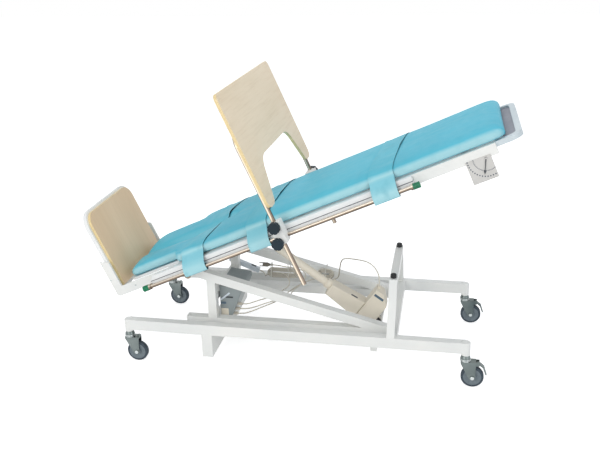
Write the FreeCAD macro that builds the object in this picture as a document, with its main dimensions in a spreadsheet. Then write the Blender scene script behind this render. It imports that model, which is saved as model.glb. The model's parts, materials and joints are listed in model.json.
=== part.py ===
import FreeCAD, Part
import math
import os
import re
import Sketcher

# Driving dimensions in millimetres and degrees, grouped by the piece that carries them.
# World: X from the foot end to the head end, Y to the far side, Z up from the floor.
# Table: "along" runs up the table from its middle, "rise" stands square on the deck's top face.
sizes = {
    # gaps that neighbouring pieces keep, and how far cutters overrun
    "seatGap": 0.3,
    "fitGap": 0.05,
    "overrun": 10,
    # base rails and caster sockets
    "stemX": 779,
    "railHalfWidth": 325,
    "tubeWidth": 39,
    "railBottom": 166,
    "railHeight": 51,
    "socketDrop": 11,
    "socketEdge": 4,
    # transom under the rails, inner beams, braces and posts
    "transomLeft": -420,
    "transomLength": 50,
    "transomDepth": 113,
    "beamInset": 75,
    "beamWidth": 40,
    "beamHeight": 40,
    "beamLeft": -520,
    "braceLeft": -500,
    "braceLeftTop": 463,
    "braceDepth": 40,
    "postLeft": -411,
    "postLength": 41,
    "crossbarInset": 2,
    "crossbarSize": 30,
    "crossbarBottom": 273,
    # rest portal at the head end
    "portalX": 433,
    "portalDepth": 35,
    "portalTop": 448,
    "portalTopHalf": 209,
    "portalBarHeight": 35,
    "lowBarDepth": 45,
    "bumperInset": 25,
    "bumperRadius": 13,
    "bumperEdge": 3,
    # tilt axle and its bearing plates
    "axleX": -477,
    "axleDrop": 10,
    "axleRadius": 11,
    "axleHeadRadius": 15,
    "axleHeadLength": 5,
    "bearingHalf": 22.5,
    "bearingThickness": 8,
    # tilt of the table at rest and the axle's place on the table
    "tilt": 24.007,
    "axleAlong": -551,
    "axleRise": -65,
    # casters
    "casterTrail": 33,
    "wheelRadius": 50,
    "wheelWidth": 24,
    "wheelEdge": 5,
    "hubRadius": 17,
    "hubWidth": 31,
    "wheelAxleRadius": 5,
    "boltRadius": 8,
    "boltLength": 4,
    "stemRadius": 6,
    "stemLength": 45,
    "raceRadius": 22,
    "raceEdge": 5,
    "crownBottom": 118,
    "crownThickness": 8,
    "forkGap": 32,
    "forkPlate": 3,
    "forkFront": 20,
    "forkRear": 55,
    "forkTip": 12,
    "channelReach": 62,
    "channelHalf": 14,
    "channelWall": 2.5,
    "channelDrop": 12,
    "tabLength": 8,
    "tabHeight": 8,
    "pedalPinRadius": 2.5,
    "pedalPivotX": 22,
    "pedalPivotZ": 66,
    "pedalHub": 6,
    "pedalWidth": 20,
    "pedalThickness": 5,
    "pedalKneeX": 47,
    "pedalKneeZ": 49,
    "pedalTipX": 62,
    "pedalTipZ": 13,
    # actuator foot: cross bar under the inner beams, bracket and pin
    "footX": 368,
    "footBarTop": 120,
    "footBarSize": 30,
    "footCheekGap": 12.3,
    "footCheekThickness": 6,
    "footCheekRadius": 11,
    "footBaseThickness": 4,
    "footPinRadius": 5,
    "footPinRise": 24,
    # motor block, gear housing, tubes and rod, measured up the actuator from its foot pin
    "motorStart": 12,
    "motorEnd": 102,
    "motorLow": -43,
    "motorHigh": 133,
    "motorCornerAt": 60,
    "motorCornerHigh": 88,
    "motorCornerLow": -30,
    "motorToe": 22,
    "motorHalf": 40,
    "motorEdge": 8,
    "gearEnd": 282,
    "gearLowStart": -54,
    "gearHighStart": 42,
    "gearLowEnd": -40,
    "gearHighEnd": 22,
    "gearHalf": 36,
    "gearEdge": 7,
    "collarRadius": 25,
    "collarLength": 26,
    "tubeRadius": 19,
    "tubeEnd": 595,
    "rodRadius": 10,
    "rodStart": 300,
    "rodSocketStart": 180,
    "eyeRadius": 11,
    "eyeHalf": 9,
    "eyePinRadius": 6,
    "eyeAlong": -271.5,
    "eyeRise": -69,
    "cheekClearance": 3,
    "cheekThickness": 6,
    "cheekFoot": 30,
    "cheekHead": 115,
    "cheekBelow": 26,
    "cheekEdge": 14,
    # control box on the left posts, its plugs and the handset
    "boxNear": 160,
    "boxFar": 60,
    "boxBottom": 172,
    "boxTop": 345,
    "boxLowDepth": 48,
    "boxHighDepth": 104,
    "boxShoulder": 310,
    "boxFrontTop": 330,
    "boxEdge": 9,
    "plugRadius": 7,
    "plugLength": 22,
    "plugY": -120,
    "plugPitch": 26,
    "plugLowZ": 184,
    "handsetX": -436,
    "handsetZ": 300,
    "handsetSlope": 21,
    "handsetLength": 168,
    "handsetWidth": 28,
    "handsetThickness": 24,
    "handsetEdge": 5,
    "handsetOut": 8,
    "hookThickness": 4,
    "hookLength": 30,
    "rockerAt": 118,
    "rockerLength": 26,
    "rockerWidth": 13,
    "rockerWell": 5,
    "rockerTop": 1,
    "rockerGap": 0.6,
    # table frame, deck and head frame
    "frameHalf": 300,
    "frameTube": 25,
    "frameDepth": 46,
    "frameFootOver": 12,
    "frameHeadInset": 35,
    "memberWidth": 40,
    "memberFirst": -335,
    "restMember": 375,
    "headMemberInset": 180,
    "middleMember": 40,
    "deckThickness": 12,
    "deckFoot": -866,
    "deckStep": -578,
    "deckHead": 960,
    "deckFootInset": 74,
    "deckCorner": 50,
    "headFrameOut": 77,
    "headFrameInset": 15,
    "headFrameTube": 25,
    "headFrameRise": 22,
    "headFrameBend": 42,
    "headPanelThickness": 8,
    "headPanelDrop": 9,
    # table lugs on the axle
    "lugThickness": 8,
    "lugInset": 16,
    "lugRadius": 19,
    # side strips, accessory rods, brackets and caps
    "stripThickness": 18,
    "stripFoot": -723,
    "stripSlant": 29,
    "stripHead": 570,
    "grooveRise": -23,
    "grooveWidth": 3,
    "grooveDepth": 4,
    "rodOut": 22,
    "rodRise": -38,
    "sideRodRadius": 8.5,
    "rodFootOver": 18,
    "rodHeadOver": 34,
    "bracketRadius": 12.5,
    "bracketLength": 10,
    "bracketFootInset": 1,
    "bracketHeadInset": 14,
    "capRadius": 13.5,
    "capLength": 30,
    "capGroove": 1.2,
    # tilt scale and its hanging pointer
    "scaleInset": 67,
    "scaleLength": 105,
    "scaleTop": -34,
    "scaleBottom": -134,
    "scaleThickness": 3,
    "pointerInset": 22,
    "pointerRise": -44,
    "pointerLength": 68,
    "pointerWidth": 5,
    "pointerThickness": 2,
    "pointerPin": 2.5,
    "pointerHub": 4.5,
    "pointerStandoff": 3,
    "pointerHead": 3.7,
    "pointerHeadThickness": 1.2,
    # footrest
    "legPlate": 8,
    "legHead": -365,
    "legHeel": 10,
    "legBackOver": 23,
    "legRise": 141,
    "legFront": 120,
    "legCorner": 15,
    "legScrewRadius": 4,
    "legScrewHead": 2.5,
    "legScrewInset": 70,
    "footPanelInset": 15,
    "footPanelThickness": 13,
    "footPanelBottom": -10,
    "footPanelTop": 360,
    "footPanelCorner": 60,
    "backingInset": 20,
    "backingThickness": 18,
    "backingTop": 373,
    "backingBottom": -30,
    # mattress
    "padFootOver": 9,
    "padThickness": 58,
    "padCrown": 4,
    "padGroove": 26,
    "padTipOver": 4,
    "padStepInset": 3,
    "padStepRound": 11,
    "padGrooveLength": 225,
    "padHeadOver": 25,
    "padTipLength": 70,
    "padHeadRound": 55,
    # straps
    "strapThickness": 2.6,
    "strapWidthFoot": 112,
    "strapWidthBelly": 100,
    "strapWidthChest": 111,
    "strapFoot": -529,
    "strapBelly": -193,
    "strapChest": 393,
    "strapSkewFoot": 95,
    "strapSkewBelly": 35,
    "strapSkewChest": 45,
    "strapLift": 1,
    "strapSlack": 8,
    "strapTail": 20,
    # tray: tube, board, clamps and knobs
    "trayTubeRadius": 10,
    "trayLegOut": 28,
    "trayNearAlong": -30,
    "traySkew": 28,
    "trayTubeTop": 449,
    "trayTubeBottom": -265,
    "trayBend": 60,
    "boardThickness": 14,
    "boardOver": 32,
    "boardBottom": 107,
    "boardTop": 627,
    "boardCorner": 28,
    "boardLegWidth": 85,
    "cutoutTop": 300,
    "cutoutSlant": 90,
    "cutoutRound": 85,
    "boardLegRound": 35,
    "clampFoot": -54,
    "clampHead": -6,
    "clampInset": 10,
    "clampOuter": 20,
    "clampBottom": -58,
    "clampTop": 40,
    "sleeveTop": 44,
    "sleeveWall": 7,
    "knobRadius": 26,
    "knobLength": 20,
    "knobStub": 4,
    "knobStubRadius": 8,
    "knobScrewRadius": 4,
    "knobUpperRise": 25,
    "knobLowerRise": -46,
    "knobLowerAlong": -46,
    "knobNotch": 5,
    # cords
    "cordRadius": 3,
    "hankPitch": 6.7,
    "hankHalf": 54,
    "hankInner": 5,
    "hankX": -135,
    "hankZ": 278,
    "bunchHalf": 14,
    "bunchInner": 8,
    "bunchX": 84,
    "bunchZ": 283,
    "hankOut": 9,
    "mainsPlugRadius": 11,
    "mainsPlugLength": 36,
    "mainsPlugTail": 12,
    "mainsPlugRise": 40,
    "pinRadius": 2.4,
    "pinLength": 19,
    "pinPitch": 9.5,
    "tieWidth": 4,
    "tieThickness": 1.2,
    "tieClearance": 2,
    "glandAt": 90,
    "glandRadius": 6,
    "glandReach": 172,
}
hank_turns = 3
bunch_turns = 3
knob_notches = 8
cap_ribs = 9

os.makedirs("parts", exist_ok=True)
doc = FreeCAD.newDocument("TiltTable")
sheet = doc.addObject("Spreadsheet::Sheet", "Sizes")
for row, (alias, amount) in enumerate(sizes.items(), start=1):
    sheet.set(f"A{row}", alias)
    sheet.set(f"B{row}", str(amount))
    sheet.setAlias(f"B{row}", alias)
doc.recompute()

nodes = []


# Formulas

def bound(formula):
    def cell(word):
        return "Sizes." + word.group() if word.group() in sizes else word.group()
    return re.sub(r"[A-Za-z_]\w*", cell, str(formula))


def amount_of(formula):
    found = sheet.evalExpression(str(formula))
    return float(getattr(found, "Value", found))


def bind(thing, **formulas):
    for name, formula in formulas.items():
        thing.setExpression(name, bound(formula))


rail_top = "(railBottom + railHeight)"
rail_line = "(railHalfWidth - tubeWidth / 2)"
beam_top = "(railBottom + beamHeight)"
beam_half = "(frameHalf - beamInset)"
beam_inner = f"({beam_half} - beamWidth)"
handset_face = f"({beam_half} + handsetOut)"
hank_y = f"({beam_inner} - hankOut)"
brace_grade = f"((braceLeftTop - {rail_top}) / (portalX - braceLeft))"


def brace_top(x):
    return f"({rail_top} + (portalX - ({x})) * {brace_grade})"


def brace_under(x):
    return f"({brace_top(x)} - braceDepth / cos(atan({brace_grade})))"


axle_z = f"({brace_top('axleX')} - axleDrop)"
foot_z = "(footBarTop + footPinRise)"

# Frames: X and Z of the origin, then the slope of the first direction
world = ("0", "0", "0")
table = (
    "(axleX - axleAlong * cos(tilt) + axleRise * sin(tilt))",
    f"({axle_z} - axleAlong * sin(tilt) - axleRise * cos(tilt))",
    "tilt",
)
eye_x = "(axleX + (eyeAlong - axleAlong) * cos(tilt) - (eyeRise - axleRise) * sin(tilt))"
eye_z = f"({axle_z} + (eyeAlong - axleAlong) * sin(tilt) + (eyeRise - axleRise) * cos(tilt))"
eye_reach = f"sqrt((footX - {eye_x})^2 + ({eye_z} - {foot_z})^2)"
actuator = ("footX", foot_z, f"(-atan(({eye_z} - {foot_z}) / (footX - {eye_x})) / 1 deg)")
handset_frame = ("handsetX", "handsetZ", "-handsetSlope")

# The gland stands in line with the foot pin, so the motor's swing slides it under its lead
gland_line = ("footX", foot_z, f"({actuator[2]} + atan(glandAt / motorHigh) / 1 deg)")

# Places along and across the table
deck_foot_half = "(frameHalf - deckFootInset)"
frame_foot = "(deckStep - frameFootOver)"
frame_head = "(deckHead - frameHeadInset)"
head_reach = "(deckHead + headFrameOut)"
head_half = "(frameHalf - headFrameInset)"
bracket_foot = "(stripFoot + bracketFootInset)"
bracket_head = "(stripHead - bracketHeadInset)"
rod_foot = f"({bracket_foot} - rodFootOver)"
rod_head = f"({bracket_head} + rodHeadOver)"
rod_line = "(frameHalf + stripThickness + rodOut)"
tray_line = f"({rod_line} + trayLegOut)"
clamp_in = f"({rod_line} - clampInset)"
clamp_out = f"({tray_line} + clampOuter)"
board_half = f"({tray_line} + boardOver)"
scale_head = "(deckHead - scaleInset)"
leg_back = "(deckFoot - legBackOver)"
leg_foot = f"({leg_back} - footPanelThickness - backingThickness - legHeel)"
backing_half = "(frameHalf - frameTube - backingInset)"
foot_panel_half = f"({backing_half} - footPanelInset)"

upright = FreeCAD.Vector(0, 0, 1)
across_axis = FreeCAD.Vector(0, 1, 0)
lengthwise = FreeCAD.Vector(1, 0, 0)


def place(thing, frame, first, across, up, along="up"):
    origin_x, origin_z, slope = frame
    if along == "across":
        thing.Placement.Rotation = FreeCAD.Rotation(upright, across_axis)
    else:
        lean = f"({slope}) - 90" if along == "first" else slope
        thing.Placement.Rotation = FreeCAD.Rotation(-across_axis, amount_of(lean) or 1)
        bind(thing, **{"Placement.Rotation.Angle": lean})
    bind(thing, **{
        "Placement.Base.x": f"{origin_x} + ({first}) * cos({slope}) - ({up}) * sin({slope})",
        "Placement.Base.y": across,
        "Placement.Base.z": f"{origin_z} + ({first}) * sin({slope}) + ({up}) * cos({slope})",
    })


def place_of(frame, first, across, up):
    origin_x, origin_z, slope = (amount_of(formula) for formula in frame)
    turn = math.radians(slope)
    return FreeCAD.Vector(
        origin_x + first * math.cos(turn) - up * math.sin(turn),
        across,
        origin_z + first * math.sin(turn) + up * math.cos(turn),
    )


# Solids

def box(name, frame, first, across, up):
    block = doc.addObject("Part::Box", name)
    spans = [f"({high}) - ({low})" for low, high in (first, across, up)]
    bind(block, Length=spans[0], Width=spans[1], Height=spans[2])
    place(block, frame, first[0], across[0], up[0])
    return block


def cylinder(name, frame, along, start, radius, length):
    bar = doc.addObject("Part::Cylinder", name)
    bind(bar, Radius=radius, Height=length)
    place(bar, frame, *start, along=along)
    return bar


def joined(name, *things):
    whole = doc.addObject("Part::MultiFuse", name)
    whole.Shapes = list(things)
    whole.Refine = True
    return whole


def cut(name, base, *tools):
    whole = doc.addObject("Part::Cut", name)
    whole.Base = base
    whole.Tool = tools[0] if len(tools) == 1 else group(name + "Tools", *tools)
    return whole


def group(name, *things):
    whole = doc.addObject("Part::Compound", name)
    whole.Links = list(things)
    return whole


def mirrored(name, thing, normal):
    copy = doc.addObject("Part::Mirroring", name)
    copy.Source = thing
    copy.Normal = normal
    return copy


def pair(name, thing):
    return group(name, thing, mirrored(name + "Mirror", thing, across_axis))


def four(name, thing):
    half = pair(name + "Half", thing)
    return group(name, half, mirrored(name + "Opposite", half, lengthwise))


def keep(name, thing):
    thing.Label = name
    nodes.append(thing)
    return thing


def sketch_on(body, plane, corners, closed=True):
    # corners: (x, y) formulas, then for an arc to the next corner its radius and its side, 1 left, -1 right
    sketch = body.newObject("Sketcher::SketchObject", body.Name + "Sketch")
    origin = next(feature for feature in body.Origin.OriginFeatures if feature.Role == plane)
    sketch.AttachmentSupport = (origin, [""])
    sketch.MapMode = "FlatFace"
    spots = [FreeCAD.Vector(amount_of(corner[0]), amount_of(corner[1]), 0) for corner in corners]
    count = len(corners) if closed else len(corners) - 1
    ends = []
    for index in range(count):
        start, end = spots[index], spots[(index + 1) % len(spots)]
        if len(corners[index]) == 2:
            sketch.addGeometry(Part.LineSegment(start, end), False)
            ends.append((1, 2))
            continue
        radius, side = amount_of(corners[index][2]), corners[index][3]
        chord = end - start
        left = FreeCAD.Vector(-chord.y, chord.x, 0).normalize()
        depth = math.sqrt(max(radius ** 2 - (chord.Length / 2) ** 2, 0))
        centre = start + chord / 2 + left * (side * depth)
        first, last = (start, end) if side > 0 else (end, start)
        angles = [math.atan2(spot.y - centre.y, spot.x - centre.x) for spot in (first, last)]
        sketch.addGeometry(Part.ArcOfCircle(Part.Circle(centre, upright, radius), *angles), False)
        ends.append((1, 2) if side > 0 else (2, 1))
    for index in range(count):
        following = (index + 1) % len(corners)
        if following < count:
            joint = Sketcher.Constraint("Coincident", index, ends[index][1], following, ends[following][0])
            sketch.addConstraint(joint)
        if len(corners[index]) > 2:
            bend = sketch.addConstraint(Sketcher.Constraint("Radius", index, amount_of(corners[index][2])))
            bind(sketch, **{f"Constraints[{bend}]": corners[index][2]})
    for index, corner in enumerate(corners):
        line = min(index, count - 1)
        end = ends[line][0] if index < count else ends[line][1]
        for axis, formula in (("X", corner[0]), ("Y", corner[1])):
            if str(formula) == "0":
                sketch.addConstraint(Sketcher.Constraint("PointOnObject", line, end, -2 if axis == "X" else -1))
                continue
            pin = Sketcher.Constraint("Distance" + axis, -1, 1, line, end, amount_of(formula))
            bind(sketch, **{f"Constraints[{sketch.addConstraint(pin)}]": formula})
    return sketch


def plate(name, frame, plane, corners, thickness, start, rounds=()):
    # a padded outline; rounds: (numbers of the corners, radius)
    body = doc.addObject("PartDesign::Body", name)
    pad = body.newObject("PartDesign::Pad", name + "Pad")
    pad.Profile = sketch_on(body, plane, corners)
    pad.Reversed = plane == "XZ_Plane"
    bind(pad, Length=thickness)
    doc.recompute()
    for step, (numbers, radius) in enumerate(rounds):
        spots = [[amount_of(formula) for formula in corners[number][:2]] for number in numbers]
        tip = body.Tip
        edges = [f"Edge{index}" for index, edge in enumerate(tip.Shape.Edges, start=1)
                 if any(stands_on(edge, spot, plane) for spot in spots)]
        fillet = body.newObject("PartDesign::Fillet", f"{name}Round{step}")
        fillet.Base = (tip, edges)
        bind(fillet, Radius=radius)
        body.Tip = fillet
        doc.recompute()
    place(body, frame, *start)
    return body


def stands_on(edge, spot, plane):
    near = 0.001
    if not isinstance(edge.Curve, Part.Line):
        return False
    flat = {"XY_Plane": (0, 1), "XZ_Plane": (0, 2), "YZ_Plane": (1, 2)}[plane]
    return all(abs(vertex.Point[axis] - value) < near
               for vertex in edge.Vertexes for axis, value in zip(flat, spot))


def softened(name, body, radius, faces):
    # round the edges of the faces that the test picks
    doc.recompute()
    tip = body.Tip
    edges = set()
    for face in tip.Shape.Faces:
        if faces(face):
            edges.update(f"Edge{index}" for index, edge in enumerate(tip.Shape.Edges, start=1)
                         for side in face.Edges if side.isSame(edge))
    fillet = body.newObject("PartDesign::Fillet", name + "Soft")
    fillet.Base = (tip, sorted(edges))
    bind(fillet, Radius=radius)
    body.Tip = fillet
    return body


def faces_across(face):
    return isinstance(face.Surface, Part.Plane) and abs(face.Surface.Axis.y) > math.cos(math.radians(1))


def turned(name, frame, along, start, profile):
    # a profile of radius and height, turned about its own upright axis
    body = doc.addObject("PartDesign::Body", name)
    sketch = sketch_on(body, "XZ_Plane", profile)
    spin = body.newObject("PartDesign::Revolution", name + "Turn")
    spin.Profile = sketch
    spin.ReferenceAxis = (sketch, ["V_Axis"])
    spin.Angle = 360
    place(body, frame, *start, along=along)
    return body


def bent_tube(name, frame, start, path_plane, path, section_plane, section):
    # a section that follows a flat path from the body's origin
    body = doc.addObject("PartDesign::Body", name)
    spine = sketch_on(body, path_plane, path, closed=False)
    profile = section(body, section_plane)
    pipe = body.newObject("PartDesign::AdditivePipe", name + "Pipe")
    pipe.Profile = profile
    pipe.Spine = (spine, [f"Edge{number}" for number in range(1, len(path))])
    place(body, frame, *start)
    return body


def round_section(radius):
    def draw(body, plane):
        sketch = body.newObject("Sketcher::SketchObject", body.Name + "Section")
        origin = next(feature for feature in body.Origin.OriginFeatures if feature.Role == plane)
        sketch.AttachmentSupport = (origin, [""])
        sketch.MapMode = "FlatFace"
        sketch.addGeometry(Part.Circle(FreeCAD.Vector(), upright, amount_of(radius)), False)
        sketch.addConstraint(Sketcher.Constraint("Coincident", 0, 3, -1, 1))
        size = sketch.addConstraint(Sketcher.Constraint("Radius", 0, amount_of(radius)))
        bind(sketch, **{f"Constraints[{size}]": radius})
        return sketch
    return draw


def four_sided_section(width, height):
    def draw(body, plane):
        across, up = f"{width} / 2", f"{height} / 2"
        corners = [(f"-{across}", f"-{up}"), (across, f"-{up}"), (across, up), (f"-{across}", up)]
        return sketch_on(body, plane, corners)
    return draw


def featured(name, shape):
    piece = doc.addObject("Part::Feature", name)
    piece.Shape = shape
    return keep(name, piece)


# Base frame

def base_frame():
    rail = box("Rail", world, ("-stemX", "stemX"), ("-railHalfWidth", "tubeWidth - railHalfWidth"),
               ("railBottom", rail_top))
    seats = [cylinder(f"RailSeat{end}", world, "up", (f"{end}stemX", f"-{rail_line}", "railBottom - overrun"),
                      "tubeWidth / 2 + fitGap", "railHeight + 2 * overrun") for end in ("-", "+")]
    rails = pair("Rails", cut("RailCut", rail, *seats))

    height = "(railHeight + socketDrop)"
    bore = "stemRadius + fitGap"
    socket = turned("Socket", world, "up", ("stemX", f"-{rail_line}", "railBottom - socketDrop"), [
        (bore, "0"),
        ("tubeWidth / 2", "0"),
        ("tubeWidth / 2", f"{height} - socketEdge", "socketEdge", 1),
        ("tubeWidth / 2 - socketEdge", height),
        ("0", height),
        ("0", "stemLength + seatGap"),
        (bore, "stemLength + seatGap"),
    ])
    keep("base_rails", group("BaseRails", rails, four("Sockets", socket)))

    keep("transom", box("Transom", world, ("transomLeft", "transomLeft + transomLength"),
                        ("-railHalfWidth", "railHalfWidth"), ("railBottom - transomDepth", "railBottom")))
    keep("inner_beams", pair("Beams", box("Beam", world, ("beamLeft", "portalX"),
                                          (f"-{beam_half}", f"-{beam_inner}"), ("railBottom", beam_top))))

    foot_at = f"(portalX - ({beam_top} + braceDepth / cos(atan({brace_grade})) - {rail_top}) / {brace_grade})"
    brace = plate("Brace", world, "XZ_Plane", [
        ("braceLeft", brace_under("braceLeft")),
        (foot_at, beam_top),
        ("portalX", beam_top),
        ("portalX", rail_top),
        ("braceLeft", "braceLeftTop"),
    ], "beamWidth", ("0", f"-{beam_half}", "0"))
    axle_hole = cylinder("BraceBore", world, "across", ("axleX", f"-{beam_half} - overrun", axle_z),
                         "axleRadius + seatGap", "beamWidth + 2 * overrun")
    keep("braces", pair("Braces", cut("BraceCut", brace, axle_hole)))

    post_right = "(postLeft + postLength)"
    post = plate("Post", world, "XZ_Plane", [
        ("postLeft", beam_top),
        (post_right, beam_top),
        (post_right, brace_under(post_right)),
        ("postLeft", brace_under("postLeft")),
    ], "beamWidth", ("0", f"-{beam_half}", "0"))
    bar = box("LeftCrossbar", world, ("postLeft + crossbarInset", "postLeft + crossbarInset + crossbarSize"),
              (f"-{beam_inner}", beam_inner), ("crossbarBottom", "crossbarBottom + crossbarSize"))
    keep("left_posts", group("LeftPosts", pair("Posts", post), bar))


def rest_portal():
    lean = f"((railHalfWidth - portalTopHalf) / (portalTop - {rail_top}))"
    bar_bottom = "(portalTop - portalBarHeight)"
    post_top = f"(railHalfWidth - ({bar_bottom} - {rail_top}) * {lean})"
    post = plate("PortalPost", world, "YZ_Plane", [
        ("railHalfWidth - tubeWidth", rail_top),
        ("railHalfWidth", rail_top),
        (post_top, bar_bottom),
        (f"{post_top} - tubeWidth", bar_bottom),
    ], "portalDepth", ("portalX", "0", "0"))
    top_bar = plate("PortalBar", world, "YZ_Plane", [
        (f"-{post_top}", bar_bottom),
        (post_top, bar_bottom),
        ("portalTopHalf", "portalTop"),
        ("-portalTopHalf", "portalTop"),
    ], "portalDepth", ("portalX", "0", "0"))
    inner = "(railHalfWidth - tubeWidth)"
    low_bar = box("PortalLowBar", world, ("portalX", "portalX + lowBarDepth"), (f"-{inner}", inner),
                  ("railBottom", rail_top))
    keep("rest_portal", group("RestPortal", pair("PortalPosts", post), top_bar, low_bar))

    height = f"({axle_z} - axleRise - frameDepth - seatGap - portalTop)"
    bumper_at = ("portalX + portalDepth / 2", "-portalTopHalf + bumperInset", "portalTop")
    bumper = turned("Bumper", world, "up", bumper_at, [
        ("0", "0"),
        ("bumperRadius", "0"),
        ("bumperRadius", f"{height} - bumperEdge", "bumperEdge", 1),
        ("bumperRadius - bumperEdge", height),
        ("0", height),
    ])
    keep("rest_bumpers", pair("Bumpers", bumper))


def tilt_bearing():
    half = "(frameHalf - lugInset + seatGap)"
    shaft = cylinder("AxleShaft", world, "across", ("axleX", f"-{half}", axle_z), "axleRadius", f"2 * {half}")
    heads = [cylinder(f"AxleHead{side}", world, "across", ("axleX", start, axle_z), "axleHeadRadius",
                      "axleHeadLength")
             for side, start in (("Near", f"-{half} - axleHeadLength"), ("Far", half))]
    keep("tilt_axle", joined("Axle", shaft, *heads))
    holder = box("Bearing", world, ("axleX - bearingHalf", "axleX + bearingHalf"),
                 (f"-{beam_half} - bearingThickness", f"-{beam_half}"),
                 (f"{axle_z} - bearingHalf", f"{axle_z} + bearingHalf"))
    bore = cylinder("BearingBore", world, "across",
                    ("axleX", f"-{beam_half} - bearingThickness - overrun", axle_z),
                    "axleRadius + fitGap", "bearingThickness + 2 * overrun")
    keep("bearing_plates", pair("Bearings", cut("BearingCut", holder, bore)))


def actuator_foot():
    left, right = "(footX - footBarSize / 2)", "(footX + footBarSize / 2)"
    bar = box("FootBar", world, (left, right), (f"-{beam_half}", beam_half),
              ("footBarTop - footBarSize", "footBarTop"))
    hanger = box("Hanger", world, (left, right), (f"-{beam_half}", f"-{beam_inner}"), ("footBarTop", "railBottom"))
    keep("foot_crossbar", group("FootCrossbar", bar, pair("Hangers", hanger)))
    outer = "(footCheekGap + footCheekThickness)"
    base = box("FootBase", world, (left, right), (f"-{outer}", outer),
               ("footBarTop", "footBarTop + footBaseThickness"))
    cheeks = []
    for side, near in (("Near", f"-{outer}"), ("Far", "footCheekGap")):
        web = box(f"FootWeb{side}", world, ("footX - footCheekRadius", "footX + footCheekRadius"),
                  (near, f"{near} + footCheekThickness"), ("footBarTop", foot_z))
        ear = cylinder(f"FootEar{side}", world, "across", ("footX", near, foot_z), "footCheekRadius",
                       "footCheekThickness")
        cheeks += [web, ear]
    bracket = joined("FootCheeks", base, *cheeks)
    bore = cylinder("FootBore", world, "across", ("footX", f"-{outer} - overrun", foot_z),
                    "footPinRadius + fitGap", f"2 * {outer} + 2 * overrun")
    pin = cylinder("FootPin", world, "across", ("footX", f"-{outer} - seatGap", foot_z),
                   "footPinRadius", f"2 * {outer} + 2 * seatGap")
    keep("foot_bracket", group("FootBracket", cut("FootEars", bracket, bore), pin))


# Casters

def caster(name, end, side, pedal):
    x, y = f"({end}stemX)", f"({side}{rail_line})"
    top = "(railBottom - socketDrop - seatGap)"
    crown_top = "(crownBottom + crownThickness)"
    outer = "(forkGap / 2 + forkPlate)"
    race = turned(f"Race{name}", world, "up", (x, y, crown_top), [
        ("0", "0"),
        ("raceRadius", "0"),
        ("raceRadius", f"({top} - {crown_top}) / 2"),
        ("raceRadius - raceEdge", f"{top} - {crown_top}"),
        ("0", f"{top} - {crown_top}"),
    ])
    stem = cylinder(f"Stem{name}", world, "up", (x, y, crown_top), "stemRadius",
                    f"railBottom - socketDrop + stemLength - {crown_top}")
    reach = "channelReach" if pedal else "forkRear"
    crown = box(f"Crown{name}", world, (f"{x} - forkFront", f"{x} + forkRear - tabLength"),
                (f"{y} - {outer}", f"{y} + {outer}"), ("crownBottom", crown_top))
    pieces = [race, stem, crown]
    for cheek, near in (("Near", f"-{outer}"), ("Far", "forkGap / 2")):
        pieces.append(plate(f"Leg{name}{cheek}", world, "XZ_Plane", [
            ("casterTrail - forkTip", "wheelRadius - forkTip"),
            ("casterTrail + forkTip", "wheelRadius - forkTip"),
            ("forkRear - tabLength", "crownBottom"),
            ("-forkFront", "crownBottom"),
        ], "forkPlate", (x, f"{y} + {near}", "0"), [((0, 1), "forkTip - seatGap")]))
    pieces.append(cylinder(f"WheelAxle{name}", world, "across",
                           (f"{x} + casterTrail", f"{y} - {outer}", "wheelRadius"),
                           "wheelAxleRadius", f"2 * {outer}"))
    for cheek, start in (("Near", f"{y} - {outer} - boltLength"), ("Far", f"{y} + {outer}")):
        pieces.append(cylinder(f"Bolt{name}{cheek}", world, "across",
                               (f"{x} + casterTrail", start, "wheelRadius"), "boltRadius", "boltLength"))
    if pedal:
        for cheek, start in (("Near", f"{y} - channelHalf"), ("Far", f"{y} + channelHalf - channelWall")):
            pieces.append(box(f"Channel{name}{cheek}", world, (x, f"{x} + {reach}"),
                              (start, f"{start} + channelWall"), ("crownBottom - channelDrop", crown_top)))
        pin_at = (f"{x} + casterTrail + pedalPivotX", f"{y} - channelHalf", "wheelRadius + pedalPivotZ")
        pieces.append(cylinder(f"PedalPin{name}", world, "across", pin_at, "pedalPinRadius", "2 * channelHalf"))
    else:
        pieces.append(box(f"Tab{name}", world, (f"{x} + forkRear - 2 * tabLength", f"{x} + forkRear - tabLength"),
                          (f"{y} - tabLength", f"{y} + tabLength"), (crown_top, f"{crown_top} + tabHeight")))
    keep(f"caster_fork_{name}", joined(f"Fork{name}", *pieces))

    half = "(wheelWidth / 2)"
    keep(f"caster_wheel_{name}", turned(
        f"Wheel{name}", world, "across", (f"{x} + casterTrail", y, "wheelRadius"), [
            ("wheelAxleRadius + fitGap", "-hubWidth / 2"),
            ("hubRadius", "-hubWidth / 2"),
            ("hubRadius", f"-{half} + wheelEdge / 2"),
            ("wheelRadius - 2 * wheelEdge", f"-{half}"),
            ("wheelRadius - wheelEdge", f"-{half}", "wheelEdge", 1),
            ("wheelRadius", f"-{half} + wheelEdge"),
            ("wheelRadius", f"{half} - wheelEdge", "wheelEdge", 1),
            ("wheelRadius - wheelEdge", half),
            ("wheelRadius - 2 * wheelEdge", half),
            ("hubRadius", f"{half} - wheelEdge / 2"),
            ("hubRadius", "hubWidth / 2"),
            ("wheelAxleRadius + fitGap", "hubWidth / 2"),
        ]))
    if pedal:
        brake_pedal(name, x, y)


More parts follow.
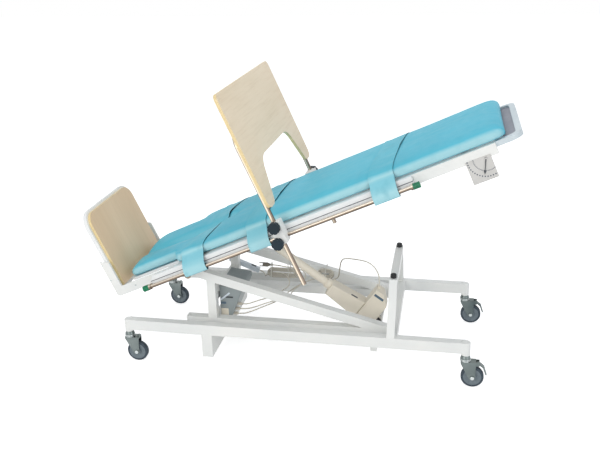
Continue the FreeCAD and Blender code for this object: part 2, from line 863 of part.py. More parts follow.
def brake_pedal(name, x, y):
    # a lever bent round the wheel, hinged between the channel's walls
    arm = plate(f"PedalArm{name}", world, "XZ_Plane", [
        ("pedalPivotX", "pedalPivotZ - pedalHub"),
        ("pedalPivotX + pedalHub", "pedalPivotZ - pedalHub"),
        ("pedalKneeX - pedalThickness / 2", "pedalKneeZ - pedalThickness / 2"),
        ("pedalTipX - pedalThickness", "pedalTipZ"),
        ("pedalTipX", "pedalTipZ"),
        ("pedalKneeX + pedalThickness / 2", "pedalKneeZ + pedalThickness / 2"),
        ("pedalPivotX + pedalHub", "pedalPivotZ + pedalHub / 2"),
        ("pedalPivotX", "pedalPivotZ + pedalHub"),
    ], "pedalWidth", (f"{x} + casterTrail", f"{y} - pedalWidth / 2", "wheelRadius"))
    pivot = (f"{x} + casterTrail + pedalPivotX", f"{y} - pedalWidth / 2", "wheelRadius + pedalPivotZ")
    hub = cylinder(f"PedalHub{name}", world, "across", pivot, "pedalHub", "pedalWidth")
    bore = cylinder(f"PedalBore{name}", world, "across", (pivot[0], f"{y} - pedalWidth / 2 - overrun", pivot[2]),
                    "pedalPinRadius + fitGap", "pedalWidth + 2 * overrun")
    keep(f"brake_pedal_{name}", cut(f"Pedal{name}", joined(f"PedalBody{name}", arm, hub), bore))


# Actuator, measured up its own line from the foot pin

def actuator_housing():
    motor = plate("Motor", actuator, "XZ_Plane", [
        ("-motorEnd", "motorLow"),
        ("-motorToe", "motorLow"),
        ("-motorStart", "motorCornerLow"),
        ("-motorStart", "motorCornerHigh"),
        ("-motorCornerAt", "motorHigh"),
        ("-motorEnd", "motorHigh"),
    ], "2 * motorHalf", ("0", "-motorHalf", "0"), [((4,), "motorEdge")])
    softened("Motor", motor, "motorEdge / 2", faces_across)
    lug_bar = box("MotorLug", actuator, ("-motorStart - motorEdge", "0"),
                  ("-footCheekGap + seatGap", "footCheekGap - seatGap"), ("-footCheekRadius", "footCheekRadius"))
    lug_end = cylinder("MotorLugEnd", actuator, "across", ("0", "-footCheekGap + seatGap", "0"), "footCheekRadius",
                       "2 * footCheekGap - 2 * seatGap")
    bore = cylinder("MotorLugBore", actuator, "across", ("0", "-footCheekGap - overrun", "0"),
                    "footPinRadius + fitGap", "2 * footCheekGap + 2 * overrun")
    gland_foot = "(sqrt(glandAt^2 + motorHigh^2) - overrun)"
    gland = cylinder("MotorGland", gland_line, "up", ("0", "0", gland_foot), "glandRadius",
                     f"glandReach - {gland_foot}")
    keep("motor_housing", cut("MotorHousing", joined("MotorBody", motor, lug_bar, lug_end, gland), bore))

    gear = plate("Gear", actuator, "XZ_Plane", [
        ("-gearEnd", "gearLowEnd"),
        ("-motorEnd", "gearLowStart"),
        ("-motorEnd", "gearHighStart"),
        ("-gearEnd", "gearHighEnd"),
    ], "2 * gearHalf", ("0", "-gearHalf", "0"))
    softened("Gear", gear, "gearEdge", faces_across)
    well = cylinder("GearWell", actuator, "first", ("-gearEnd - overrun", "0", "0"), "rodRadius + seatGap",
                    "gearEnd + overrun - rodSocketStart")
    keep("gear_housing", cut("GearHousing", gear, well))

    collar = cylinder("Collar", actuator, "first", ("-gearEnd - collarLength", "0", "0"), "collarRadius",
                      "collarLength")
    sleeve = cylinder("OuterTube", actuator, "first", ("-tubeEnd", "0", "0"), "tubeRadius", "tubeEnd - gearEnd")
    bore = cylinder("TubeBore", actuator, "first", ("-tubeEnd - overrun", "0", "0"), "rodRadius + seatGap",
                    "tubeEnd - gearEnd + 2 * overrun")
    keep("actuator_tube", cut("ActuatorTube", joined("TubeBody", collar, sleeve), bore))


def actuator_rod():
    reach = f"({eye_reach})"
    shaft = cylinder("RodShaft", actuator, "first", (f"-{reach}", "0", "0"), "rodRadius", f"{reach} - rodStart")
    eye = cylinder("RodEye", actuator, "across", (f"-{reach}", "-eyeHalf", "0"), "eyeRadius", "2 * eyeHalf")
    rod = joined("Rod", shaft, eye)
    pin_half = "(tubeRadius + cheekClearance - seatGap)"
    pin = cylinder("EyePin", actuator, "across", (f"-{reach}", f"-{pin_half}", "0"), "eyePinRadius",
                   f"2 * {pin_half}")
    middle = cylinder("EyePinSeat", actuator, "across", (f"-{reach}", f"-{pin_half}", "0"), "eyePinRadius + fitGap",
                      f"2 * {pin_half}")
    keep("actuator_rod", cut("RodBored", rod, middle))
    keep("rod_eye_pin", pin)


def rod_clevis():
    # cheeks that straddle the actuator, welded under the deck
    inner = "(tubeRadius + cheekClearance)"
    cheek = plate("Cheek", table, "XZ_Plane", [
        ("eyeAlong - cheekFoot", "eyeRise - cheekBelow"),
        ("eyeAlong + cheekHead", "eyeRise - cheekBelow"),
        ("eyeAlong + cheekHead", "-deckThickness"),
        ("eyeAlong - cheekFoot", "-deckThickness"),
    ], "cheekThickness", ("0", inner, "0"), [((0, 1), "cheekEdge")])
    return pair("Clevis", cheek)


# Control box and handset

def control_box():
    left = "(postLeft + postLength)"
    slant = "(boxHighDepth - boxLowDepth) / (boxShoulder - boxBottom)"
    body = plate("ControlBody", world, "XZ_Plane", [
        (left, "boxBottom"),
        (f"{left} + boxLowDepth", "boxBottom"),
        (f"{left} + boxHighDepth", "boxShoulder"),
        (f"{left} + boxHighDepth", "boxFrontTop"),
        (left, "boxTop"),
    ], "boxNear + boxFar", ("0", "-boxNear", "0"), [((2, 3), "boxEdge")])
    keep("control_box", softened("ControlBody", body, "boxEdge / 3", faces_across))
    plugs = []
    for number in range(3):
        height = f"(plugLowZ + {number} * plugPitch)"
        face = f"({left} + boxLowDepth + ({height} - boxBottom) * {slant})"
        core = cylinder(f"Plug{number}", world, "first", (face, "plugY", height), "plugRadius", "plugLength")
        side = cylinder(f"PlugFoot{number}", world, "first", (f"{face} - plugRadius", "plugY", height), "plugRadius",
                        "plugLength")
        plugs.append(joined(f"PlugWhole{number}", core, side))
    doc.recompute()
    keep("cord_plugs", cut("Plugs", group("PlugGroup", *plugs), doc.getObject("ControlBody")))


def handset():
    body = plate("HandsetBody", handset_frame, "XZ_Plane", [
        ("0", "0"),
        ("handsetLength", "0"),
        ("handsetLength", "handsetThickness"),
        ("0", "handsetThickness"),
    ], "handsetWidth", ("0", handset_face, "0"), [((0, 1, 2, 3), "handsetEdge")])
    softened("HandsetBody", body, "handsetEdge / 2", faces_across)
    middle = f"({handset_face} + handsetWidth / 2)"
    hook = box("HandsetHook", handset_frame, ("handsetLength / 3", "handsetLength / 3 + hookLength"),
               (f"{beam_half} + seatGap", f"{handset_face} + hookThickness"),
               ("handsetThickness - 2 * hookThickness", "handsetThickness - hookThickness"))
    well = box("RockerWell", handset_frame, ("rockerAt - rockerGap", "rockerAt + rockerLength + rockerGap"),
               (f"{middle} - rockerWidth / 2 - seatGap", f"{middle} + rockerWidth / 2 + seatGap"),
               ("handsetThickness - rockerWell", "handsetThickness + overrun"))
    keep("handset", cut("Handset", joined("HandsetWhole", body, hook), well))
    centre = "(rockerAt + rockerLength / 2)"
    key = plate("RockerKey", handset_frame, "XZ_Plane", [
        ("rockerAt", "handsetThickness + rockerTop"),
        ("rockerAt", "handsetThickness - rockerWell / 2"),
        (centre, "handsetThickness - rockerWell + seatGap"),
        ("rockerAt + rockerLength", "handsetThickness - rockerWell / 2"),
        ("rockerAt + rockerLength", "handsetThickness + rockerTop"),
    ], "rockerWidth", ("0", f"{middle} - rockerWidth / 2", "0"))
    keep("handset_rocker", key)


# Table frame

def table_frame():
    inner = "(frameHalf - frameTube)"
    tube = box("SideTube", table, (frame_foot, frame_head), ("-frameHalf", f"-{inner}"), ("-frameDepth", "0"))
    near = "(-frameHalf + lugInset)"
    web = box("LugWeb", table, ("axleAlong - lugRadius", "axleAlong + lugRadius"), (near, f"{near} + lugThickness"),
              ("axleRise", "-frameDepth"))
    ring = cylinder("LugRing", table, "across", ("axleAlong", near, "axleRise"), "lugRadius", "lugThickness")
    bore = cylinder("LugBore", table, "across", ("axleAlong", f"{near} - overrun", "axleRise"), "axleRadius + fitGap",
                    "lugThickness + 2 * overrun")
    lugs = pair("Lugs", cut("LugCut", joined("LugBody", web, ring), bore))
    members = []
    for name, start in (("First", "memberFirst"), ("Middle", "middleMember"), ("Rest", "restMember"),
                        ("Head", "(deckHead - headMemberInset)")):
        depth = "frameTube" if name == "First" else "memberWidth"
        members.append(box(f"Member{name}", table, (start, f"{start} + {depth}"), (f"-{inner}", inner),
                           ("-frameDepth", "-deckThickness")))
    keep("table_frame", group("TableFrame", pair("SideTubes", tube), lugs, rod_clevis(), *members))

    half = f"({inner} - legPlate - seatGap)"
    deck = plate("Deck", table, "XY_Plane", [
        ("deckFoot", f"-{deck_foot_half}"),
        ("deckStep", f"-{deck_foot_half}"),
        ("deckStep", f"-{half}"),
        ("deckHead", f"-{half} + headFrameTube"),
        ("deckHead", f"{half} - headFrameTube"),
        ("deckStep", half),
        ("deckStep", deck_foot_half),
        ("deckFoot", deck_foot_half),
    ], "deckThickness", ("0", "0", "-deckThickness"), [((0, 7), "deckCorner")])
    keep("deck", deck)


def head_frame():
    start_y = f"(headFrameTube / 2 - {head_half})"
    length = f"({head_reach} - {frame_head} - headFrameTube / 2)"
    width = f"(2 * {head_half} - headFrameTube)"
    loop = bent_tube("HeadLoop", table, (frame_head, start_y, "-headFrameRise / 2"), "XY_Plane", [
        ("0", "0"),
        (f"{length} - headFrameBend", "0", "headFrameBend", 1),
        (length, "headFrameBend"),
        (length, f"{width} - headFrameBend", "headFrameBend", 1),
        (f"{length} - headFrameBend", width),
        ("0", width),
    ], "YZ_Plane", four_sided_section("headFrameTube", "headFrameRise"))
    keep("head_frame", loop)
    inner = f"({head_half} - headFrameTube - seatGap)"
    panel_head = f"({head_reach} - headFrameTube - seatGap)"
    keep("head_panel", plate("HeadPanel", table, "XY_Plane", [
        ("deckHead + seatGap", f"-{inner}"),
        (panel_head, f"-{inner}"),
        (panel_head, inner),
        ("deckHead + seatGap", inner),
    ], "headPanelThickness", ("0", "0", "-headPanelDrop - headPanelThickness"),
        [((1, 2), "headFrameBend - headFrameTube / 2 - seatGap")]))


def side_rails():
    strip = plate("Strip", table, "XZ_Plane", [
        ("stripFoot + stripSlant", "0"),
        ("stripFoot", "-stripSlant"),
        ("stripFoot", "-frameDepth"),
        ("stripHead", "-frameDepth"),
        ("stripHead", "0"),
    ], "stripThickness", ("0", "-frameHalf - stripThickness", "0"))
    groove = box("StripGroove", table, ("stripFoot - overrun", "stripHead + overrun"),
                 ("-frameHalf - stripThickness - overrun", "-frameHalf - stripThickness + grooveDepth"),
                 ("grooveRise", "grooveRise + grooveWidth"))
    keep("side_strips", pair("Strips", cut("StripCut", strip, groove)))

    keep("side_rods", pair("SideRods", cylinder("SideRod", table, "first", (rod_foot, f"-{rod_line}", "rodRise"),
                                                "sideRodRadius", f"{rod_head} - {rod_foot}")))
    brackets = []
    for name, start in (("Foot", bracket_foot), ("Head", bracket_head)):
        ring = cylinder(f"Ring{name}", table, "first", (start, f"-{rod_line}", "rodRise"), "bracketRadius",
                        "bracketLength")
        arm = box(f"Arm{name}", table, (start, f"{start} + bracketLength"),
                  (f"-{rod_line}", "-frameHalf - stripThickness"), ("-frameDepth", "rodRise + sideRodRadius"))
        bore = cylinder(f"RingBore{name}", table, "first", (f"{start} - overrun", f"-{rod_line}", "rodRise"),
                        "sideRodRadius + fitGap", "bracketLength + 2 * overrun")
        brackets.append(cut(f"Bracket{name}", joined(f"BracketBody{name}", ring, arm), bore))
    keep("rod_brackets", pair("Brackets", group("BracketGroup", *brackets)))

    caps = []
    rib = f"(capLength / {4 * cap_ribs})"
    valley = "(capRadius - capGroove)"
    for name, start in (("Foot", f"{bracket_foot} - capLength"), ("Head", f"{bracket_head} + bracketLength")):
        profile = [("0", "0"), (valley, "0")]
        for number in range(cap_ribs):
            rib_start, rib_end = f"{4 * number + 1} * {rib}", f"{4 * number + 3} * {rib}"
            profile += [(valley, rib_start), ("capRadius", rib_start), ("capRadius", rib_end), (valley, rib_end)]
        profile += [(valley, "capLength"), ("0", "capLength")]
        body = turned(f"Cap{name}", table, "first", (start, f"-{rod_line}", "rodRise"), profile)
        bore = cylinder(f"CapBore{name}", table, "first", (rod_foot, f"-{rod_line}", "rodRise"),
                        "sideRodRadius + fitGap", f"{rod_head} - {rod_foot}")
        caps.append(cut(f"CapCut{name}", body, bore))
    keep("rod_caps", pair("Caps", group("CapGroup", *caps)))


def tilt_scale():
    inner = "-frameHalf - scaleThickness"
    pointer_along = f"({scale_head} - pointerInset)"
    scale = box("ScalePlate", table, (f"{scale_head} - scaleLength", scale_head), (inner, "-frameHalf"),
                ("scaleBottom", "scaleTop"))
    keep("scale_plate", group("TiltScale", scale, joined(
        "PointerPost",
        cylinder("PointerPin", table, "across",
                 (pointer_along, f"{inner} - pointerStandoff", "pointerRise"), "pointerPin", "pointerStandoff"),
        cylinder("PointerHead", table, "across",
                 (pointer_along, f"{inner} - pointerStandoff - pointerHeadThickness", "pointerRise"), "pointerHead",
                 "pointerHeadThickness"))))
    pivot_x = f"(axleX + ({pointer_along} - axleAlong) * cos(tilt) - (pointerRise - axleRise) * sin(tilt))"
    pivot_z = f"({axle_z} + ({pointer_along} - axleAlong) * sin(tilt) + (pointerRise - axleRise) * cos(tilt))"
    hanging = (pivot_x, pivot_z, "0")
    near = f"({inner} - pointerStandoff + seatGap)"
    neck_share, barb_share = 0.7, 0.8
    blade = plate("PointerBlade", hanging, "XZ_Plane", [
        ("-pointerWidth / 2", "0"),
        ("-pointerWidth / 4", f"-pointerLength * {neck_share}"),
        ("-pointerWidth", f"-pointerLength * {barb_share}"),
        ("0", "-pointerLength"),
        ("pointerWidth", f"-pointerLength * {barb_share}"),
        ("pointerWidth / 4", f"-pointerLength * {neck_share}"),
        ("pointerWidth / 2", "0"),
    ], "pointerThickness", ("0", near, "0"))
    hub = cylinder("PointerHub", hanging, "across", ("0", near, "0"), "pointerHub", "pointerThickness")
    bore = cylinder("PointerBore", hanging, "across", ("0", f"{near} - overrun", "0"), "pointerPin + fitGap",
                    "pointerThickness + 2 * overrun")
    keep("pointer", cut("Pointer", joined("PointerBody", blade, hub), bore))


def footrest():
    outer = "(frameHalf - frameTube)"
    leg = plate("FootLeg", table, "XZ_Plane", [
        (leg_foot, "-frameDepth"),
        ("legHead", "-frameDepth"),
        ("legHead", "-deckThickness / 4"),
        (leg_back, "-deckThickness / 4"),
        (leg_back, "legFront"),
        (leg_foot, "legRise"),
    ], "legPlate - seatGap", ("0", f"-{outer} + seatGap", "0"), [((0,), "legCorner")])
    keep("footrest_legs", pair("FootLegs", leg))
    face = f"({leg_back} - footPanelThickness)"
    panel = plate("FootPanel", table, "YZ_Plane", [
        (f"-{foot_panel_half}", "footPanelBottom"),
        (foot_panel_half, "footPanelBottom"),
        (foot_panel_half, "footPanelTop"),
        (f"-{foot_panel_half}", "footPanelTop"),
    ], "footPanelThickness", (face, "0", "0"), [((2, 3), "footPanelCorner")])
    keep("foot_panel", panel)
    backing = plate("Backing", table, "YZ_Plane", [
        (f"-{backing_half}", "backingBottom"),
        (backing_half, "backingBottom"),
        (backing_half, "backingTop"),
        (f"-{backing_half}", "backingTop"),
    ], "backingThickness", (f"{face} - backingThickness", "0", "0"), [((2, 3), "footPanelCorner + footPanelInset")])
    tabs = box("BackingTabs", table, (f"{face} - backingThickness", face),
               (f"-{outer} + legPlate", f"{outer} - legPlate"), ("backingBottom", "legFront"))
    keep("foot_backing", joined("FootBacking", backing, tabs))
    screws = []
    for number, (along, rise) in enumerate(((f"{leg_foot} + legScrewRadius + seatGap", "legFront"),
                                            (f"{leg_foot} + 2 * legScrewRadius", "legFront / 3"),
                                            (f"{leg_back} + legScrewInset", "-frameDepth / 2"))):
        screws.append(cylinder(f"LegScrew{number}", table, "across",
                               (along, f"-{outer} + seatGap - legScrewHead", rise), "legScrewRadius", "legScrewHead"))
    screws_near = group("LegScrews", *screws)
    keep("footrest_screws", pair("LegScrewPair", screws_near))


# Mattress and straps, as closed forms on the deck

pad_bottom_share = 0.17
pad_bulge_share = 0.45
pad_shoulder_share = 0.86
pad_shoulder_in_share = 0.26


def pad_section(along, half, thickness, centre):
    # flat underside, drawn-in sides and a top that swells to each side of the middle
    size = amount_of("padThickness")
    lift = amount_of("seatGap")

    def spot(across, rise):
        return place_of(table, along, across, rise + lift)
    bottom, shoulder = half - pad_bottom_share * size, half - pad_shoulder_in_share * size
    edge, bulge = pad_shoulder_share * thickness, pad_bulge_share * thickness
    crest = max((edge + centre) / 2 + amount_of("padCrown"), (thickness + centre) / 2)
    return Part.Wire([
        Part.LineSegment(spot(-bottom, 0), spot(bottom, 0)).toShape(),
        Part.Arc(spot(bottom, 0), spot(half, bulge), spot(shoulder, edge)).toShape(),
        Part.Arc(spot(shoulder, edge), spot(shoulder / 2, crest), spot(0, centre)).toShape(),
        Part.Arc(spot(0, centre), spot(-shoulder / 2, crest), spot(-shoulder, edge)).toShape(),
        Part.Arc(spot(-shoulder, edge), spot(-half, bulge), spot(-bottom, 0)).toShape(),
    ])


def mattress():
    foot, step = amount_of("deckFoot - padTipOver"), amount_of("deckStep + padStepInset")
    head = amount_of("deckHead + padHeadOver")
    narrow, wide = amount_of(f"{deck_foot_half} + padFootOver"), amount_of("frameHalf")
    deep, crown, groove = amount_of("padThickness"), amount_of("padCrown"), amount_of("padGroove")
    tip, end_round, step_round = (amount_of(f"pad{name}") for name in ("TipLength", "HeadRound", "StepRound"))
    groove_end = step + amount_of("padGrooveLength")
    # tip and head ends: share of the end's length, of the width lost, and of the thickness
    tip_shares = ((0, 1.0, 0.22), (0.06, 0.62, 0.45), (0.22, 0.3, 0.7), (0.5, 0.09, 0.88), (1, 0, 0.97))
    head_shares = ((1, 0, 1), (0.5, 0.13, 0.98), (0.2, 0.36, 0.86), (0.05, 0.62, 0.66), (0, 0.9, 0.42))
    fading_share = 0.4
    sections = []
    for place_share, narrow_share, thick_share in tip_shares:
        thickness = deep * thick_share
        sections.append((foot + tip * place_share, narrow - tip * narrow_share, thickness,
                         thickness - groove * thick_share * place_share ** 0.5))
    sections.append((step - step_round, narrow, deep, deep - groove))
    sections.append((step, (narrow + wide) / 2 + step_round, deep, deep - groove))
    sections.append((step + 2 * step_round, wide, deep, deep - groove))
    sections.append((groove_end - 3 * end_round, wide, deep, deep - groove))
    sections.append((groove_end - end_round, wide, deep, deep - groove * fading_share))
    sections.append((groove_end, wide, deep, deep + crown))
    for place_share, narrow_share, thick_share in head_shares:
        thickness = deep * thick_share
        sections.append((head - end_round * place_share, wide - end_round * narrow_share, thickness,
                         thickness + crown * thick_share))
    wires = [pad_section(*section) for section in sections]
    featured("mattress", Part.makeLoft(wires, True, True))


def strap(name):
    # a flat band over the mattress, down outside both rods and up again behind them
    top_steps, turn_steps, side_share = 6, 4, 0.62
    thick, gap, lift = amount_of("strapThickness"), amount_of("seatGap"), amount_of("strapLift")
    half, deep, crown = amount_of("frameHalf"), amount_of("padThickness"), amount_of("padCrown")
    rod_y, rod_z, rod_r = amount_of(rod_line), amount_of("rodRise"), amount_of("sideRodRadius")
    tail, slack = amount_of("strapTail"), amount_of("strapSlack")
    start, width, skew = (amount_of(f"strap{kind}{name}") for kind in ("", "Width", "Skew"))
    turn_radius = rod_r + gap + thick / 2
    shoulder = half - pad_shoulder_in_share * deep
    top = deep + crown + lift + thick / 2
    edge = pad_shoulder_share * deep + lift + 2 * thick
    line = []
    for number in range(top_steps + 1):
        across = shoulder * number / top_steps
        line.append((across, top - (top - edge) * (across / shoulder) ** 2))
    line.append((half + thick + lift, side_share * deep))
    line.append((rod_y + turn_radius, rod_z + 3 * rod_r))
    line.append((rod_y + turn_radius, rod_z - slack))
    for number in range(1, turn_steps + 1):
        angle = math.pi * number / turn_steps
        line.append((rod_y + turn_radius * math.cos(angle), rod_z - slack - turn_radius * math.sin(angle)))
    line.append((rod_y - turn_radius, rod_z - slack + tail))
    line = [(-across, rise) for across, rise in reversed(line[1:])] + line
    wires = []
    for number, (across, rise) in enumerate(line):
        before, after = line[max(number - 1, 0)], line[min(number + 1, len(line) - 1)]
        run = FreeCAD.Vector(after[0] - before[0], after[1] - before[1], 0).normalize()
        side = FreeCAD.Vector(-run.y, run.x, 0) * (thick / 2)
        shift = skew * (max(-1, min(1, across / half)) + 1) / 2
        corners = [place_of(table, start + shift + step, across + side.x * way, rise + side.y * way)
                   for step, way in ((0, -1), (width, -1), (width, 1), (0, 1))]
        wires.append(Part.makePolygon(corners + corners[:1]))
    piece = doc.addObject("Part::Feature", name)
    piece.Shape = Part.makeLoft(wires, True, True)
    return piece


# Tray

def skewed(name, thing):
    # turned a little about the table's normal, because one leg stands further up its rod than the other
    thing.Placement.Rotation = FreeCAD.Rotation(-upright, 1)
    bind(thing, **{"Placement.Rotation.Angle": f"atan(traySkew / (2 * {tray_line})) / 1 deg"})
    whole = group(name, thing)
    place(whole, table, "0", "0", "0")
    return whole


def tray():
    width = f"sqrt((2 * {tray_line})^2 + traySkew^2)"
    height = "(trayTubeTop - trayTubeBottom)"
    turn = f"(atan(traySkew / (2 * {tray_line})) / 1 deg)"
    body = bent_tube("TrayLoop", world, ("trayNearAlong", f"-{tray_line}", "trayTubeBottom"), "YZ_Plane", [
        ("0", "0"),
        ("0", f"{height} - trayBend", "trayBend", -1),
        ("trayBend", height),
        (f"{width} - trayBend", height, "trayBend", -1),
        (width, f"{height} - trayBend"),
        (width, "0"),
    ], "XY_Plane", round_section("trayTubeRadius"))
    keep("tray_tube", skewed("TrayTube", body))
    face = "(trayTubeRadius + seatGap)"
    middle = "(trayNearAlong + traySkew / 2)"
    inner = f"({board_half} - boardLegWidth)"
    board = plate("Board", world, "YZ_Plane", [
        (f"-{board_half}", "boardBottom"),
        (f"-{inner}", "boardBottom"),
        (f"-{inner} + cutoutSlant", "cutoutTop"),
        (f"{inner} - cutoutSlant", "cutoutTop"),
        (inner, "boardBottom"),
        (board_half, "boardBottom"),
        (board_half, "boardTop"),
        (f"-{board_half}", "boardTop"),
    ], "boardThickness", (f"{middle} + {face} * cos({turn})", f"-{face} * sin({turn})", "0"),
        [((6, 7), "boardCorner"), ((2, 3), "cutoutRound"), ((0, 1, 4, 5), "boardLegRound")])
    keep("tray_board", skewed("TrayBoard", board))


def tray_clamp(side):
    # a block that rides on the rod and holds a leg, bored for two clamping screws
    near = side == "Near"
    shift = "0" if near else "traySkew"

    def across(low, high):
        return (f"-({high})", f"-({low})") if near else (low, high)
    leg_at = f"trayNearAlong + {shift}"
    leg_y, rod_y = (f"-{tray_line}", f"-{rod_line}") if near else (tray_line, rod_line)
    block = box(f"ClampBlock{side}", table, (f"clampFoot + {shift}", f"clampHead + {shift}"),
                across(clamp_in, clamp_out), ("clampBottom", "clampTop"))
    sleeve = cylinder(f"ClampSleeve{side}", table, "up", (leg_at, leg_y, "clampTop - overrun"),
                      "trayTubeRadius + sleeveWall", "sleeveTop - clampTop + overrun")
    leg_bore = cylinder(f"ClampLegBore{side}", table, "up", (leg_at, leg_y, "clampBottom - overrun"),
                        "trayTubeRadius + fitGap", "sleeveTop - clampBottom + 2 * overrun")
    rod_bore = cylinder(f"ClampRodBore{side}", table, "first", (f"clampFoot + {shift} - overrun", rod_y, "rodRise"),
                        "sideRodRadius + fitGap", "clampHead - clampFoot + 2 * overrun")
    bore_start = across(f"{clamp_in} - overrun", f"{clamp_out} + overrun")[0]
    leg_side = across(tray_line, f"{clamp_out} + overrun")[0]
    screw_bores = [cylinder(f"ClampScrewBore{side}{name}", table, "across", (f"{along} + {shift}", start, rise),
                            "knobScrewRadius + fitGap", f"{clamp_out} - {inner} + {ends} * overrun")
                   for name, along, rise, start, inner, ends in (
                       ("Upper", "trayNearAlong", "knobUpperRise", leg_side, tray_line, 1),
                       ("Lower", "knobLowerAlong", "knobLowerRise", bore_start, clamp_in, 2))]
    return cut(f"Clamp{side}", joined(f"ClampBody{side}", block, sleeve), leg_bore, rod_bore, *screw_bores)


def knob(name, side, along, rise, screw_start):
    # a moulded knob with a scalloped rim, on a stub with its clamping screw
    along = along if side == "near" else f"{along} + traySkew"
    stub_start, head_start = f"({clamp_out} + seatGap)", f"({clamp_out} + seatGap + knobStub)"

    def low(start, length):
        return f"-({start} + {length})" if side == "near" else start
    body = doc.addObject("PartDesign::Body", f"Knob{name}")
    pad = body.newObject("PartDesign::Pad", f"Knob{name}Pad")
    pad.Profile = round_section("knobRadius")(body, "XY_Plane")
    bind(pad, Length="knobLength")
    doc.recompute()
    solid_volume = pad.Shape.Volume
    notch = body.newObject("Sketcher::SketchObject", f"Knob{name}Notch")
    origin = next(feature for feature in body.Origin.OriginFeatures if feature.Role == "XY_Plane")
    notch.AttachmentSupport = (origin, [""])
    notch.MapMode = "FlatFace"
    reach = amount_of("knobRadius + knobNotch / 2")
    notch.addGeometry(Part.Circle(FreeCAD.Vector(reach, 0, 0), upright, amount_of("knobNotch")), False)
    notch.addConstraint(Sketcher.Constraint("PointOnObject", 0, 3, -1))
    for kind, ends, formula in (("Radius", (0,), "knobNotch"),
                                ("DistanceX", (-1, 1, 0, 3), "knobRadius + knobNotch / 2")):
        number = notch.addConstraint(Sketcher.Constraint(kind, *ends, amount_of(formula)))
        bind(notch, **{f"Constraints[{number}]": formula})
    pocket = body.newObject("PartDesign::Pocket", f"Knob{name}Scallop")
    pocket.Profile = notch
    pocket.Type = "ThroughAll"
    pocket.Reversed = True
    doc.recompute()
    pattern = body.newObject("PartDesign::PolarPattern", f"Knob{name}Ring")
    pattern.Originals = [pocket]
    pattern.Axis = (notch, ["N_Axis"])
    pattern.Angle = 360
    pattern.Occurrences = knob_notches
    body.Tip = pattern
    doc.recompute()
    if body.Shape.Volume >= solid_volume:
        raise SystemExit(f"{name}: the scallops cut nothing")
    place(body, table, along, low(head_start, "knobLength"), rise, along="across")
    stub = cylinder(f"KnobStub{name}", table, "across", (along, low(stub_start, "knobStub"), rise),
                    "knobStubRadius", "knobStub")
    screw_length = f"({stub_start} - {screw_start})"
    screw = cylinder(f"KnobScrew{name}", table, "across", (along, low(screw_start, screw_length), rise),
                     "knobScrewRadius", screw_length)
    keep(f"knob_{name}", joined(f"KnobWhole{name}", body, stub, screw))


# Cords

def cord_path(route):
    # straight runs with tangent arcs as large as the runs allow
    bend_share = 0.45
    spots = [FreeCAD.Vector(*spot) for spot in route]
    edges, radii, last = [], [], spots[0]
    for before, corner, after in zip(spots, spots[1:], spots[2:]):
        back, on = before - corner, after - corner
        half_turn = (math.pi - back.getAngle(on)) / 2
        trim = bend_share * min(back.Length, on.Length)
        radii.append(trim / math.tan(half_turn))
        back.normalize()
        on.normalize()
        enter, leave = corner + back * trim, corner + on * trim
        inward = (back + on).normalize()
        middle = corner + inward * (radii[-1] / math.cos(half_turn) - radii[-1])
        edges.append(Part.LineSegment(last, enter).toShape())
        edges.append(Part.Arc(enter, middle, leave).toShape())
        last = leave
    edges.append(Part.LineSegment(last, spots[-1]).toShape())
    return Part.Wire(edges), radii


def swept(path, radius):
    start = path.Edges[0]
    tangent = start.tangentAt(start.FirstParameter)
    ring = Part.Wire(Part.makeCircle(radius, start.valueAt(start.FirstParameter), tangent))
    return path.makePipeShell([ring], True, False)


def cord(name, routes):
    radius = amount_of("cordRadius")
    section = math.pi * radius ** 2
    tubes = []
    for route in routes:
        path, radii = cord_path(route)
        tubes.append(swept(path, radius))
        print(name, "length", round(path.Length), "volume share",
              round(tubes[-1].Volume / (section * path.Length), 3), "radii", [round(bend) for bend in radii])
    return featured(name, tubes[0] if len(tubes) == 1 else Part.makeCompound(tubes))


def hank_path(middle, half, inner, turns, pitch, short):
    # flat loops that spiral in through the front layer and out again through the back one,
    # from the lower head-end corner; a short hank leaves at the upper head-end corner
    def spot(end, layer, height):
        return middle + FreeCAD.Vector(-end * half, layer, -height)

    heights = [(-1) ** number * (inner + number * pitch / 2) for number in range(2 * turns + 1)]
    back = heights[:-1] if short else heights
    edges, end = [], 1
    last = spot(-end, -pitch / 2, heights[-1])
    for layer, row in ((-pitch / 2, heights[::-1]), (pitch / 2, back)):
        for height, reach in zip(row, row[1:]):
            start, finish = spot(end, layer, height), spot(end, layer, reach)
            if abs(start.y - last.y) > pitch / 2:
                edges += climb(last, start)
            else:
                edges.append(Part.LineSegment(last, start).toShape())
            centre = (start + finish) / 2
            bulge = centre + FreeCAD.Vector(-end * abs(height - reach) / 2, 0, 0)
            edges.append(Part.Arc(start, bulge, finish).toShape())
            last, end = finish, -end
    edges.append(Part.LineSegment(last, spot(end, pitch / 2, back[-1])).toShape())
    return Part.Wire(edges)


def climb(start, finish):
    # an even S of two arcs in the plane of the run, straight at both ends
    straight_share = 1 / 12
    straight = FreeCAD.Vector((finish - start).x * straight_share, 0, 0)
    first, last = start + straight, finish - straight
    centre = (first + last) / 2
    chord = last - first
    step = FreeCAD.Vector(0, chord.y, 0)
    sweep = 2 * math.atan2(abs(chord.y), abs(chord.x))
    radius = (chord.Length / 2) / (2 * math.sin(sweep / 2))
    sag = radius * (1 - math.cos(sweep / 2))
    normal = FreeCAD.Vector(-chord.y, chord.x, 0).normalize()
    if normal.dot(step) > 0:
        normal = -normal
    quarter = (centre - first) / 2
    return [
        Part.LineSegment(start, first).toShape(),
        Part.Arc(first, first + quarter + normal * sag, centre).toShape(),
        Part.Arc(centre, centre + quarter - normal * sag, last).toShape(),
        Part.LineSegment(last, finish).toShape(),
    ]


